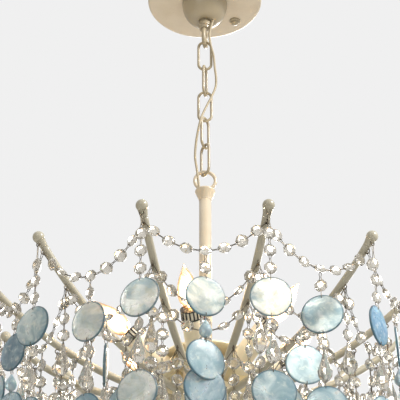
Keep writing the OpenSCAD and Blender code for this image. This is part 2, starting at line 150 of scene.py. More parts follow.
def build(name, surface, material, body, replaces=(), smooth=True):
    """Makes the Blender object, hangs it on the body that carries it, and hides the CAD nodes it stands for."""
    mesh = bpy.data.meshes.new(name)
    tris, quads = surface.tris, surface.quads
    corners = np.concatenate([tris.ravel(), quads.ravel()]).astype(np.int32)
    starts = np.concatenate([np.arange(len(tris)) * 3, len(tris) * 3 + np.arange(len(quads)) * 4])
    mesh.vertices.add(len(surface.points))
    mesh.vertices.foreach_set("co", surface.points.ravel().astype(np.float32))
    mesh.loops.add(len(corners))
    mesh.loops.foreach_set("vertex_index", corners)
    mesh.polygons.add(len(starts))
    mesh.polygons.foreach_set("loop_start", starts.astype(np.int32))
    mesh.update(calc_edges=True)
    mesh.polygons.foreach_set("use_smooth", np.full(len(starts), smooth))
    for key, value in surface.marks.items():
        mesh.attributes.new(key, "FLOAT", "POINT").data.foreach_set("value", value.astype(np.float32))
    mesh.materials.append(material)
    piece = bpy.data.objects.new(name, mesh)
    bpy.context.scene.collection.objects.link(piece)
    if body is not None:
        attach(piece, body)
        if replaces:
            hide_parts(*replaces)
    return piece


# %% [markdown]
# ## The few kinds of surface
#
# Turned parts are a profile carried round an axis. Rods, links and wires are a circle carried along a path.
# Both are grids of points, so one function can join the points of any grid with faces.


# %% Grids, turned shapes and tubes
def grid_quads(rows, columns, wrap_rows=False, wrap_columns=True):
    """Faces of a grid: each joins a point, the next in its row, and the two in the row after."""
    r = np.arange(rows if wrap_rows else rows - 1)[:, None]
    c = np.arange(columns if wrap_columns else columns - 1)[None, :]
    r2, c2 = (r + 1) % rows, (c + 1) % columns
    return np.stack([r * columns + c, r * columns + c2, r2 * columns + c2, r2 * columns + c], -1).reshape(-1, 4)


def fan(ring, centre, flip=False):
    """Triangles from each edge of a ring of point numbers to one centre point."""
    following = np.roll(ring, -1)
    pair = (following, ring) if flip else (ring, following)
    return np.stack([*pair, np.full(len(ring), centre)], -1)


def turned(profile, sides=48, **marks):
    """A profile of (radius, height) pairs, from its top to its bottom outside, carried round the Z axis.
    Ends that lie on the axis are closed with a fan of triangles."""
    profile = np.asarray(profile, float)
    on_axis = profile[:, 0] < 1e-9
    body = profile[~on_axis]
    angle = np.linspace(0, 2 * math.pi, sides, endpoint=False)
    ring = np.stack([np.cos(angle), np.sin(angle)], -1)
    points = np.concatenate(
        [body[:, None, :1] * ring[None], np.repeat(body[:, None, 1:], sides, 1)], -1
    ).reshape(-1, 3)
    quads = grid_quads(len(body), sides)[:, ::-1]
    tris, extra = [], []
    if on_axis[0]:
        extra.append([0, 0, profile[0, 1]])
        tris.append(fan(np.arange(sides), len(points)))
    if on_axis[-1]:
        extra.append([0, 0, profile[-1, 1]])
        tris.append(fan(np.arange(sides) + (len(body) - 1) * sides, len(points) + len(extra) - 1, flip=True))
    points = np.concatenate([points, np.asarray(extra, float).reshape(-1, 3)])
    return Surface(points, np.concatenate(tris) if tris else None, quads, **marks)


def carried_frames(path, closed):
    """Two directions square to the path at each point, turned along it as little as it allows."""
    ahead = np.roll(path, -1, 0) - np.roll(path, 1, 0)
    if not closed:
        ahead[0], ahead[-1] = path[1] - path[0], path[-1] - path[-2]
    ahead /= np.linalg.norm(ahead, axis=1, keepdims=True)
    side = np.cross(ahead[0], [0.31, 0.17, 0.93])
    sides = []
    for direction in ahead:
        side = side - direction * (side @ direction)
        side = side / np.linalg.norm(side)
        sides.append(side)
    sides = np.array(sides)
    return sides, np.cross(ahead, sides)


def tube(path, radius, sides=12, closed=False, **marks):
    """A circle of the given radius, one number or one for each point, carried along a path."""
    path = np.asarray(path, float)
    u, v = carried_frames(path, closed)
    angle = np.linspace(0, 2 * math.pi, sides, endpoint=False)
    radius = np.broadcast_to(radius, len(path))[:, None, None]
    ring = u[:, None] * np.cos(angle)[None, :, None] + v[:, None] * np.sin(angle)[None, :, None]
    points = (path[:, None] + radius * ring).reshape(-1, 3)
    quads = grid_quads(len(path), sides, wrap_rows=closed)
    if closed:
        return Surface(points, None, quads, **marks)
    tris = np.concatenate([
        fan(np.arange(sides), len(points), flip=True),
        fan(np.arange(sides) + (len(path) - 1) * sides, len(points) + 1),
    ])
    return Surface(np.concatenate([points, path[[0, -1]]]), tris, quads, **marks)


def rounded(corners, radius, steps=4):
    """A profile with each inner corner replaced by a small arc, as a turning tool or a press leaves it."""
    corners = np.asarray(corners, float)
    kept = [corners[:1]]
    t = np.linspace(0, 1, steps)[:, None]
    for before, corner, after in zip(corners, corners[1:], corners[2:]):
        reach = min(radius, np.linalg.norm(before - corner) * 0.45, np.linalg.norm(after - corner) * 0.45)
        a = corner + (before - corner) / np.linalg.norm(before - corner) * reach
        b = corner + (after - corner) / np.linalg.norm(after - corner) * reach
        kept.append((1 - t) ** 2 * a + 2 * t * (1 - t) * corner + t**2 * b)
    return np.concatenate(kept + [corners[-1:]])


# %% [markdown]
# ## Finding places round the lamp
#
# The lamp repeats every 30 degrees, so places are given by azimuth, from the viewer's side (-Y) towards +X. A
# local frame there has its first axis pointing outwards, its second along the crown and its third up.


# %% Polar places
def turn_z(degrees):
    """The matrix that turns about the upright axis."""
    c, s = math.cos(math.radians(degrees)), math.sin(math.radians(degrees))
    return np.array([[c, -s, 0], [s, c, 0], [0, 0, 1]])


def facing(azimuth):
    """The local frame at an azimuth, as a matrix whose columns are outwards, along and up."""
    return turn_z(azimuth - 90)


def tilt_y(degrees):
    """The matrix that leans the upright axis towards the first axis."""
    c, s = math.cos(math.radians(degrees)), math.sin(math.radians(degrees))
    return np.array([[c, 0, s], [0, 1, 0], [-s, 0, c]])


ARM_AZIMUTHS = [15 + 30 * k for k in range(12)]
BAY_AZIMUTHS = [30 + 30 * k for k in range(12)]
CROWN_R = 0.250
ARC_RHO = 0.370
ARC_END = 47
ARC_R0 = CROWN_R - ARC_RHO * math.sin(math.radians(ARC_END))
ARC_Z0 = CROWN_Z + ARC_RHO * math.cos(math.radians(ARC_END))
ARM_RADIUS = 4.25 * MM

# %% [markdown]
# ## Shader maths as Python
#
# A socket of a material is wrapped in a small class, so that `mask * 0.5 + noise` adds the Math nodes itself.
# Every other node comes from one method, which sets the node's own settings first and its sockets after.


# %% Finish and Wire
class Wire:
    """An output socket of a finish's node tree, with arithmetic."""

    def __init__(self, finish, socket):
        self.finish, self.socket = finish, socket

    def _maths(self, operation, first, second):
        return self.finish.node("ShaderNodeMath", {"operation": operation}, {0: first, 1: second})

    def __add__(self, other):
        return self._maths("ADD", self, other)

    __radd__ = __add__

    def __sub__(self, other):
        return self._maths("SUBTRACT", self, other)

    def __rsub__(self, other):
        return self._maths("SUBTRACT", other, self)

    def __mul__(self, other):
        return self._maths("MULTIPLY", self, other)

    __rmul__ = __mul__

    def __pow__(self, other):
        return self._maths("POWER", self, other)

    def clamped(self):
        """The value kept between 0 and 1."""
        return self.finish.node("ShaderNodeClamp", {}, {"Value": self})


class Finish:
    """A material made of nodes, with one Principled surface."""

    def __init__(self, name, **fixed):
        self.material = bpy.data.materials.new(name)
        self.material.use_nodes = True
        self.tree = self.material.node_tree
        self.tree.nodes.clear()
        output = self.tree.nodes.new("ShaderNodeOutputMaterial")
        self.shader = self.tree.nodes.new("ShaderNodeBsdfPrincipled")
        self.tree.links.new(self.shader.outputs[0], output.inputs[0])
        self.place = self.node("ShaderNodeTexCoord", out="Object")
        for name, value in fixed.items():
            self.set(name.replace("_", " "), value)

    def node(self, kind, settings=None, sockets=None, out=0):
        """A node of that kind; settings are its own properties, sockets its values or links."""
        node = self.tree.nodes.new(kind)
        for key, value in (settings or {}).items():
            if key == "stops":
                while len(node.color_ramp.elements) < len(value):
                    node.color_ramp.elements.new(1)
                for element, (place, colour) in zip(node.color_ramp.elements, value):
                    element.position = place
                    element.color = (*colour, 1)
            else:
                setattr(node, key, value)
        for key, value in (sockets or {}).items():
            self.fill(node.inputs[key], value)
        return Wire(self, node.outputs[out])

    def fill(self, socket, value):
        """Links a wire to a socket, or gives it a fixed value."""
        if isinstance(value, Wire):
            self.tree.links.new(value.socket, socket)
        elif hasattr(value, "__len__") and len(value) == 3 and socket.type == "RGBA":
            socket.default_value = (*value, 1)
        else:
            socket.default_value = value

    def set(self, name, value):
        """A socket of the surface itself."""
        self.fill(self.shader.inputs[name], value)

    def mark(self, name):
        """A number kept for each point of the mesh."""
        return self.node("ShaderNodeAttribute", {"attribute_name": name}, out="Fac")

    def noise(self, scale, detail=3, rough=0.5, distort=0.0, where=None):
        """Cloudy noise from 0 to 1, in cells of about one over the scale metres."""
        sockets = {"Vector": where or self.place, "Scale": scale, "Detail": detail,
                   "Roughness": rough, "Distortion": distort}
        return self.node("ShaderNodeTexNoise", {}, sockets)

    def ramp(self, value, stops):
        """A colour that follows a value through the stops."""
        return self.node("ShaderNodeValToRGB", {"stops": stops}, {"Fac": value})

    def band(self, value, low, high):
        """0 below low, 1 above high, and smooth between."""
        return self.node("ShaderNodeMapRange", {"interpolation_type": "SMOOTHSTEP"},
                         {"Value": value, "From Min": low, "From Max": high})

    def mix(self, share, first, second):
        """One colour laid over another by a share."""
        return self.node("ShaderNodeMix", {"data_type": "RGBA"}, {0: share, 6: first, 7: second}, out=2)

    def bump(self, height, distance, strength=1.0):
        """Feeds a height, in units of the distance, to the surface's normal."""
        bumped = self.node("ShaderNodeBump", {}, {"Height": height, "Distance": distance, "Strength": strength},
                           out="Normal")
        self.set("Normal", bumped)


def srgb(r, g, b):
    """A screen colour, 0 to 255, as the linear light that Blender mixes."""
    return tuple(((v / 255 + 0.055) / 1.055) ** 2.4 if v > 10 else v / 255 / 12.92 for v in (r, g, b))


# %% [markdown]
# ## Painted iron
#
# The frame is iron under a warm cream lacquer. Sprayed lacquer has a faint orange-peel ripple and an uneven
# gloss, and it looks a little thinner and browner in patches, so slow noise shifts its colour and fine noise
# bumps its surface. Besides the cream itself, the same lacquer is mixed in three copies with light and shade
# painted in: a paler one with painted light for the hub and cups, a tan one with painted shade for the boss,
# nuts, loop and links, and a greyer, darker one with painted shade for the arms.


# %% Finishes of the metal parts
def lacquer(name, light, dark, speck):
    """Satin lacquer with soft brown patches, small chips of shade and an orange-peel ripple."""
    f = Finish(name, Coat_Roughness=0.15, Specular_IOR_Level=0.5)
    patches = f.noise(22, detail=5, rough=0.6)
    specks = f.noise(420, detail=2)
    shade = f.band(patches, 0.42, 0.72)
    base = f.mix(shade * 0.55, srgb(*light), srgb(*dark))
    base = f.mix(f.band(specks, 0.66, 0.74) * 0.3, base, srgb(*speck))
    f.set("Base Color", base)
    f.set("Roughness", patches * 0.16 + 0.26)
    f.set("Coat Weight", f.band(patches, 0.35, 0.6) * 0.25 + 0.3)
    f.bump(f.noise(900, detail=1) + f.noise(160, detail=2) * 1.5, 0.00006)
    return f.material


def zinc_plate():
    """Bright zinc on pressed steel, with clouded patches."""
    f = Finish("zinc_plate", Metallic=1.0)
    cloud = f.noise(60, detail=6, rough=0.7)
    f.set("Base Color", f.ramp(cloud, [(0.3, (0.42, 0.43, 0.45)), (0.7, (0.66, 0.66, 0.62))]))
    f.set("Roughness", cloud * 0.25 + 0.25)
    f.bump(f.noise(700), 0.00005)
    return f.material


def pewter_wire():
    """Dull wire, darker where it has been bent."""
    f = Finish("pewter_wire", Metallic=1.0)
    cloud = f.noise(250, detail=3)
    f.set("Base Color", f.ramp(cloud, [(0.35, srgb(70, 62, 52)), (0.7, srgb(150, 140, 122))]))
    f.set("Roughness", cloud * 0.25 + 0.22)
    return f.material


def cable_sheath():
    """Cream flexible sheath with a soft sheen and the faint twist of the cores under it. Its colour is
    darkened to tan as painted shade.
    """
    f = Finish("cable_sheath", Sheen_Weight=0.1)
    cloud = f.noise(90, detail=4)
    # Both colours are tan, darker than the cream sheath: painted shade.
    f.set("Base Color", f.mix(cloud, srgb(156, 142, 114), srgb(182, 168, 140)))
    f.set("Roughness", cloud * 0.2 + 0.45)
    f.bump(f.noise(500, detail=2), 0.00006)
    return f.material


CREAM = lacquer("cream_paint", (208, 193, 168), (194, 176, 145), (165, 145, 112))
# A paler copy of the cream lacquer with painted light, for the hub, its cover and the cups.
CREAM_PAINTED_LIGHT = lacquer("pale_paint", (240, 228, 196), (226, 212, 174), (196, 178, 140))
# A darker tan copy of the cream lacquer with painted shade, for the boss, collar, nuts, loop and links.
CREAM_PAINTED_SHADE = lacquer("tan_paint", (168, 154, 126), (150, 135, 106), (116, 100, 74))
# A greyer, darker copy of the cream lacquer with painted shade, for the arms and their ball ends.
CREAM_PAINTED_ARM_SHADE = lacquer("greige_paint", (176, 169, 148), (152, 143, 119), (112, 100, 78))
ZINC = zinc_plate()
WIRE = pewter_wire()
SHEATH = cable_sheath()

# %% [markdown]
# ## Candle lamps
#
# Each lamp is an ivory tube with a black lampholder in its mouth and a flame-shaped bulb. A lit bulb is far
# brighter than the room, so its glass is mostly clear with a warm glow, strongest round the filament.


# %% Finishes of the candles
def ivory_tube():
    """Matt ivory card or plastic, a little waxy."""
    f = Finish("ivory_tube", Subsurface_Weight=0.08, Subsurface_Scale=0.004)
    cloud = f.noise(45, detail=4)
    f.set("Base Color", f.mix(cloud, srgb(226, 210, 176), srgb(242, 232, 208)))
    f.set("Roughness", cloud * 0.15 + 0.4)
    f.bump(f.noise(260, detail=3), 0.0001)
    return f.material


def black_moulding():
    """Black moulded plastic with worn gloss, and pale painted highlight stripes between its ribs."""
    f = Finish("black_moulding")
    cloud = f.noise(120, detail=4)
    black = f.mix(cloud, (0.012, 0.011, 0.01), (0.05, 0.046, 0.04))
    # Where marked, the black is painted pale: painted highlight stripes between the ribs.
    f.set("Base Color", f.mix(f.mark("slot"), black, srgb(236, 228, 206)))
    f.set("Roughness", cloud * 0.3 + 0.3)
    f.bump(f.noise(900), 0.00004)
    return f.material


def plated_cap():
    """Nickelled brass of a bulb's screw cap."""
    f = Finish("plated_cap", Metallic=1.0)
    cloud = f.noise(150, detail=3)
    f.set("Base Color", f.mix(cloud, srgb(176, 158, 118), srgb(214, 204, 178)))
    f.set("Roughness", cloud * 0.2 + 0.2)
    return f.material


def lit_glass():
    """Clear bulb glass that glows: amber where the eye grazes it, and blown out to white at its heart."""
    f = Finish("lit_glass", Transmission_Weight=1.0, Roughness=0.02, IOR=1.3, Emission_Strength=1.0)
    along = f.mark("along")
    grazing = f.node("ShaderNodeLayerWeight", {}, {"Blend": 0.5}, out="Facing")
    sparkle = f.noise(150, detail=3, distort=1.5)
    heart = f.band(along, 0.0, 0.2) * (1 - f.band(along, 0.5, 0.95)) * (1 - f.band(grazing, 0.15, 0.6))
    heart = (heart + f.band(sparkle, 0.5, 0.7) * 0.3 - f.band(sparkle, 0.5, 0.3) * 0.2).clamped()
    f.set("Base Color", f.mix(f.band(grazing, 0.3, 0.7), srgb(255, 240, 220), srgb(204, 152, 104)))
    f.set("Emission Color", f.ramp(heart, [(0.0, (0.02, 0.01, 0.004)), (0.45, (0.24, 0.14, 0.06)),
                                           (1.0, (0.9, 0.72, 0.5))]))
    return f.material


def filament_glow():
    """White-hot filament."""
    f = Finish("filament_glow", Emission_Strength=9.0, Roughness=0.5)
    cloud = f.noise(300)
    f.set("Base Color", srgb(255, 220, 160))
    f.set("Emission Color", f.mix(cloud, srgb(255, 196, 120), srgb(255, 226, 180)))
    return f.material


IVORY = ivory_tube()
BLACK = black_moulding()
CAP = plated_cap()
LIT_GLASS = lit_glass()
FILAMENT = filament_glow()

# %% [markdown]
# ## Glass
#
# The cut crystals are clear, and their look comes from real facets that bend the room behind them. The discs
# are slices of mottled glass: cloudy in the middle, with darker teal at the rim where the eye looks through
# more glass. Each disc carries a tone, from milky to slate blue, as a number on its points.


# %% Finishes of the glass
def cut_crystal():
    """Clear lead glass with a trace of smoke."""
    f = Finish("cut_crystal", Transmission_Weight=0.86, IOR=1.46, Specular_IOR_Level=0.6)
    cloud = f.noise(35, detail=3)
    f.set("Base Color", f.mix(cloud, srgb(236, 232, 223), srgb(216, 210, 198)))
    f.set("Roughness", cloud * 0.12)
    return f.material


def aqua_glass():
    """Cloudy aqua glass: colour follows each disc's tone, with mottling, streaks and a darker rim."""
    f = Finish("aqua_glass", Transmission_Weight=0.36, IOR=1.3, Coat_Weight=0.22, Coat_Roughness=0.16,
               Subsurface_Weight=0.2, Subsurface_Scale=0.006)
    tone, rim = f.mark("tone"), f.mark("rim")
    cloud = f.noise(44, detail=5, rough=0.6, distort=1.2)
    fine = f.noise(170, detail=4, rough=0.65, distort=0.6)
    streak = f.noise(75, detail=4, distort=2.8)
    pale = f.ramp(tone, [(0.0, srgb(246, 247, 240)), (0.3, srgb(214, 220, 214)), (0.5, srgb(202, 218, 220)),
                         (0.7, srgb(184, 202, 208)), (0.85, srgb(126, 164, 188)), (1.0, srgb(150, 170, 178))])
    deep = f.ramp(tone, [(0.0, srgb(198, 208, 204)), (0.3, srgb(150, 166, 166)), (0.5, srgb(152, 180, 188)),
                         (0.7, srgb(134, 160, 170)), (0.85, srgb(84, 130, 162)), (1.0, srgb(108, 132, 146))])
    base = f.mix(f.band(cloud, 0.36, 0.64), pale, deep)
    base = f.mix(f.band(fine, 0.52, 0.66) * 0.4, base, srgb(250, 248, 232))
    base = f.mix(f.band(fine, 0.48, 0.36) * 0.22, base, deep)
    base = f.mix(f.band(streak, 0.6, 0.74) * 0.32, base, srgb(116, 148, 160))
    base = f.mix(f.band(fine, 0.5, 0.62) * (1 - f.band(tone, 0.0, 0.45)) * 0.4, base, srgb(164, 170, 146))
    base = f.mix(f.band(cloud + rim * 0.2, 0.66, 0.8) * 0.5, base, srgb(132, 168, 182))
    base = f.mix(f.band(rim, 0.9, 0.965) * 0.85, base, srgb(60, 96, 110))
    f.set("Base Color", base)
    f.set("Roughness", f.band(cloud, 0.3, 0.8) * 0.22 + 0.26)
    f.bump(cloud + fine * 0.4, 0.0004, 0.6)
    return f.material


CRYSTAL = cut_crystal()
AQUA = aqua_glass()

# %% [markdown]
# ## Canopy and its fittings
#
# The canopy is a spun steel cup, closed below and open to the ceiling. Spinning leaves round corners, so
# every profile here has its corners rounded before it is carried round the axis.

# %% Canopy, boss, collar and cap nuts
canopy_low, canopy_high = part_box("canopy")
CANOPY_R = canopy_high.x
CANOPY_FLOOR = canopy_low.z
BOSS_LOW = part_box("canopy_boss")[0].z
COLLAR_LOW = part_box("loop_collar")[0].z
BOSS_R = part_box("canopy_boss")[1].x
COLLAR_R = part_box("loop_collar")[1].x
SHEET = 1.2 * MM
BOSS_FLAT = 12 * MM

canopy_profile = rounded([
    (CANOPY_R - SHEET, 0), (CANOPY_R, 0), (CANOPY_R, CANOPY_FLOOR), (5.5 * MM, CANOPY_FLOOR),
    (5.5 * MM, CANOPY_FLOOR + SHEET), (CANOPY_R - SHEET, CANOPY_FLOOR + SHEET), (CANOPY_R - SHEET, 0),
], 4 * MM, 6)[:-1]


def turned_ring(profile, sides=64, **marks):
    """A closed profile carried round the axis: a ring or a shell with no ends."""
    profile = np.asarray(profile, float)
    angle = np.linspace(0, 2 * math.pi, sides, endpoint=False)
    ring = np.stack([np.cos(angle), np.sin(angle)], -1)
    points = np.concatenate([profile[:, None, :1] * ring[None], np.repeat(profile[:, None, 1:], sides, 1)], -1)
    return Surface(points, None, grid_quads(len(profile), sides, wrap_rows=True)[:, ::-1], **marks)


build("canopy_shell", turned_ring(canopy_profile, 96), CREAM, "ceiling_fixing", ["canopy"])

arc = np.linspace(0, math.pi / 2, 10)
boss_profile = np.concatenate([
    [(5.5 * MM, CANOPY_FLOOR), (BOSS_R, CANOPY_FLOOR)],
    np.stack([BOSS_FLAT + (BOSS_R - BOSS_FLAT) * np.cos(arc),
              CANOPY_FLOOR + (BOSS_LOW - CANOPY_FLOOR) * np.sin(arc)], -1),
    [(5.5 * MM, BOSS_LOW)],
])
# The boss, the collar and the cap nuts below are painted in the tan copy of the cream, as painted shade.
build("boss_dome", turned_ring(boss_profile, 64), CREAM_PAINTED_SHADE, "ceiling_fixing", ["canopy_boss"])

collar_profile = rounded([
    (5 * MM, BOSS_LOW), (COLLAR_R - MM, BOSS_LOW), (COLLAR_R - MM, BOSS_LOW - 3 * MM),
    (COLLAR_R, BOSS_LOW - 3.4 * MM), (COLLAR_R, BOSS_LOW - 8.6 * MM), (COLLAR_R - 1.5 * MM, BOSS_LOW - 9 * MM),
    (COLLAR_R - 1.5 * MM, COLLAR_LOW), (5 * MM, COLLAR_LOW), (5 * MM, BOSS_LOW),
], 0.8 * MM)[:-1]
build("collar", turned_ring(collar_profile, 48), CREAM_PAINTED_SHADE, "ceiling_fixing", ["loop_collar"])

NUT_AZIMUTH, NUT_R, NUT_H = 132, 7.25 * MM, 7 * MM
NUT_DISTANCE = 55 * MM
dome = np.linspace(0, math.pi / 2, 8)
nut_profile = np.concatenate([
    [(0, 0), (NUT_R, 0), (NUT_R, -1.6 * MM), (NUT_R - 0.5 * MM, -2 * MM), (NUT_R - 0.9 * MM, -2.2 * MM)],
    np.stack([5.7 * MM * np.cos(dome), -2.4 * MM - (NUT_H - 2.4 * MM) * np.sin(dome)], -1)[:-1],
    [(0, -NUT_H)],
])
nut = turned(nut_profile, 32)
sides_of_bar = [facing(NUT_AZIMUTH) @ np.array([side * NUT_DISTANCE, 0, CANOPY_FLOOR])
                for side in (-1, 1)]
build("cap_nuts", nut.copies([np.eye(3)] * 2, sides_of_bar), CREAM_PAINTED_SHADE, "ceiling_fixing",
      ["canopy_nuts"])
for node, material in (("ceiling_bracket", ZINC), ("stud_bar", ZINC), ("nipple_nut", ZINC)):
    frame["nodes"][node].data.materials.clear()
    frame["nodes"][node].data.materials.append(material)

# %% [markdown]
# ## Chain
#
# A link is bent from round wire and welded, so it is a circle carried along an oval: two straight runs and
# two half circles. The links hang in planes that turn about the upright axis from one to the next.


# %% Loop and links
def oval_path(length, width, wire, steps=14, straight=6):
    """The centreline of a link in the XZ plane: half circles of half the width, joined by straight runs."""
    bend, half = (width - wire) / 2, (length - width) / 2
    t = np.linspace(0, math.pi, steps)
    up = np.linspace(-half, half, straight)[1:-1]
    top = np.stack([bend * np.cos(t), 0 * t, half + bend * np.sin(t)], -1)
    bottom = np.stack([-bend * np.cos(t), 0 * t, -half - bend * np.sin(t)], -1)
    left = np.stack([0 * up - bend, 0 * up, up[::-1]], -1)
    right = np.stack([0 * up + bend, 0 * up, up], -1)
    return np.concatenate([top, left, bottom, right])


def middle(node):
    """The centre of a CAD node's box."""
    low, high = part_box(node)
    return np.array((low + high) / 2)


LINK_LENGTH, LINK_WIDTH, LINK_WIRE = 48 * MM, 20 * MM, 3.6 * MM
LINK_TURNS = [0, 76, 0, 58, 125]
LOOP_WIRE, LOOP_TURN = 5.5 * MM, 80
loop_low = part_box("canopy_loop")[0].z
LOOP_LENGTH, LOOP_WIDTH = 30 * MM, 24 * MM
loop = tube(oval_path(LOOP_LENGTH, LOOP_WIDTH, LOOP_WIRE), LOOP_WIRE / 2, 20, closed=True)
SHANK_TOP, SHANK_LOW, SHANK_R = BOSS_LOW + 12 * MM, COLLAR_LOW - 1.2 * MM, 5 * MM
shank_profile = rounded([(0, SHANK_TOP), (SHANK_R, SHANK_TOP), (SHANK_R, SHANK_LOW), (0, SHANK_LOW)], 0.8 * MM)
loop_surface = joined([
    loop.moved(turn_z(LOOP_TURN), (0, 0, loop_low + LOOP_LENGTH / 2)),
    turned(shank_profile, 32),
])
# The loop is painted in the tan copy of the cream, as painted shade.
build("top_loop", loop_surface, CREAM_PAINTED_SHADE, "ceiling_fixing", ["canopy_loop"])

link = tube(oval_path(LINK_LENGTH, LINK_WIDTH, LINK_WIRE), LINK_WIRE / 2, 20, closed=True)
# The links are painted in the tan copy of the cream, as painted shade.
for number, turn in enumerate(LINK_TURNS, 1):
    node = f"chain_link_{number}"
    build(f"link_{number}", link.moved(turn_z(turn), middle(node)), CREAM_PAINTED_SHADE, node, [node])

# %% [markdown]
# ## Supply cable
#
# The cable leaves the boss, weaves down through the chain and enters the ferrule. As the chain sways the cable
# has to bend with it, so it is cut at each joint's height into lengths that overlap; the lengths hang on no
# body and stay where they are built.

# %% Cable in overlapping lengths
CABLE_R = 1.5 * MM
CABLE_ROUTE = np.array([
    [11, -4, -40], [11, -4, -54], [8.8, -5.6, -66], [6.2, -5, -80], [7.4, -4.4, -96],
    [11.2, -3.4, -114], [12.8, -2.8, -133], [14.4, -2.6, -150], [13.6, -3.2, -165], [8.2, -5.2, -182],
    [2.9, -6.6, -195], [-1.6, -9.6, -208], [-5.2, -11.6, -220], [-9, -9.6, -238], [-11.6, -6.6, -256],
    [-12.4, -5.6, -274], [-10.4, -6.6, -291], [-8.6, -8, -308], [-7.2, -8, -322.5],
]) * MM


def smooth_route(points, steps=8):
    """A curve through every point (Catmull-Rom): each stretch leaves along the line between its neighbours."""
    p = np.concatenate([2 * points[:1] - points[1:2], points, 2 * points[-1:] - points[-2:-1]])
    t = np.linspace(0, 1, steps, endpoint=False)[:, None]
    pieces = []
    for a, b, c, d in zip(p, p[1:], p[2:], p[3:]):
        pieces.append(0.5 * (2 * b + (c - a) * t + (2 * a - 5 * b + 4 * c - d) * t**2
                             + (3 * b - a - 3 * c + d) * t**3))
    return np.concatenate(pieces + [points[-1:]])


chain_bodies = ["ceiling_fixing"] + [f"chain_link_{k}" for k in range(1, 6)] + ["lamp"]
pivots = [joints[name]["pos_m"][2] for name in
          ["link_1_swing", "link_2_swing", "link_3_swing", "link_4_swing", "link_5_swing", "lamp_swing"]]
route = smooth_route(CABLE_ROUTE)
cuts = [route[0, 2] + 1] + [(a + b) / 2 for a, b in zip(pivots, pivots[1:])] + [route[-1, 2] - 1]
for number, (above, below) in enumerate(zip(cuts, cuts[1:])):
    held = route[(route[:, 2] <= above + 0.003) & (route[:, 2] >= below - 0.003)]
    length = build(f"cable_length_{number + 1}", tube(held, CABLE_R, 12), SHEATH, None)
    reach = (0, 0, pivots[number] + 0.014), (0, 0, pivots[number] - 0.014)
    chain_bodies[number + 1]
    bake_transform(length)
    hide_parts("supply_cable")
print("cable length", round(float(np.linalg.norm(np.diff(route, axis=0), axis=1).sum()), 3), "m")

# %% [markdown]
# ## Stem, hub and arms
#
# The ring on the stem is brazed to a conical ferrule. The stem runs down to a flat cover over the hub, where
# the twelve arms meet. An arm is a rod bent to one arc, so it is a circle carried along that arc, and it
# swells at its end into a ball like a drumstick's.

# %% Stem and hub
ring_low, ring_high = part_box("stem_loop")
RING_WIRE = 4.5 * MM
RING_R = (30 * MM - RING_WIRE) / 2
ring_z = ring_high.z - RING_WIRE / 2 - RING_R
STEM_R = 7.5 * MM
round_path = np.linspace(0, 2 * math.pi, 48, endpoint=False)
ring = tube(np.stack([RING_R * np.cos(round_path), 0 * round_path, RING_R * np.sin(round_path)], -1),
            RING_WIRE / 2, 20, closed=True)
ferrule_top = ring_z - 15 * MM + MM
ferrule = turned(rounded([
    (0, ferrule_top), (11.5 * MM, ferrule_top),
    (12.5 * MM, ferrule_top - MM), (12.5 * MM, ferrule_top - 2.4 * MM),
    (STEM_R + 0.4 * MM, ring_low.z + 1.6 * MM), (STEM_R + 0.4 * MM, ring_low.z), (0, ring_low.z),
], 0.9 * MM), 48)
build("ring_and_ferrule", joined([ring.moved(offset=(0, 0, ring_z)), ferrule]), CREAM, "lamp",
      ["stem_loop"])

stem_low, stem_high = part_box("stem")
STEM_BORE = STEM_R - 1.5 * MM
stem_profile = [(STEM_BORE, stem_low.z), (STEM_R, stem_low.z), (STEM_R, stem_high.z), (STEM_BORE, stem_high.z)]
build("stem_tube", turned_ring(stem_profile[::-1], 48), CREAM, "lamp", ["stem"])

hub_low, hub_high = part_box("hub")
cover_low, cover_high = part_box("hub_cover")
HUB_R, NECK_R = hub_high.x, 26 * MM
hub_step = hub_low.z + 26 * MM
hub_profile = rounded([
    (0, hub_high.z), (NECK_R, hub_high.z), (NECK_R, hub_step),
    (HUB_R - 2 * MM, hub_step), (HUB_R, hub_step - 2 * MM),
    (HUB_R, hub_low.z + 3 * MM), (HUB_R - 3 * MM, hub_low.z), (0, hub_low.z),
], 1.5 * MM)
# The hub and its cover are painted in the paler copy of the cream, as painted light.
build("hub_body", turned(hub_profile, 72), CREAM_PAINTED_LIGHT, "lamp", ["hub"])

sweep = np.linspace(0, math.pi / 2, 10)
COVER_R, COVER_PLATE, NECK = cover_high.x, 3 * MM, STEM_R + 3 * MM
cover_profile = np.concatenate([
    [(0, cover_high.z), (NECK, cover_high.z)],
    np.stack([NECK + (COVER_R - NECK - 9 * MM) * (1 - np.cos(sweep)),
              cover_high.z - (cover_high.z - cover_low.z - COVER_PLATE) * np.sin(sweep)], -1),
    rounded([(COVER_R - 5 * MM, cover_low.z + COVER_PLATE), (COVER_R, cover_low.z + COVER_PLATE),
             (COVER_R, cover_low.z), (0, cover_low.z)], 1.3 * MM),
])
build("hub_plate", turned(cover_profile, 96), CREAM_PAINTED_LIGHT, "lamp", ["hub_cover"])


# %% Arms and ball tips
def arm_theta(r):
    """The angle along the arm's arc, in radians from straight down, at a distance from the lamp's axis."""
    return math.asin((r - ARC_R0) / ARC_RHO)


def arm_z(r):
    """Height of the arm's middle at a distance from the lamp's axis."""
    return ARC_Z0 - ARC_RHO * math.cos(arm_theta(r))


def arc_point(theta):
    """Points of the arm's arc, in the upright plane through the lamp's axis."""
    theta = np.asarray(theta)
    return np.stack([ARC_R0 + ARC_RHO * np.sin(theta), 0 * theta, ARC_Z0 - ARC_RHO * np.cos(theta)], -1)


TIP_LENGTH, BALL_R = 12 * MM, 6.5 * MM
tip_theta = math.radians(ARC_END) - math.atan(TIP_LENGTH / ARC_RHO)
arm = tube(arc_point(np.linspace(arm_theta(HUB_R - 2 * MM), tip_theta + 0.004, 40)), ARM_RADIUS, 20)
arms_round = [facing(a) for a in ARM_AZIMUTHS]
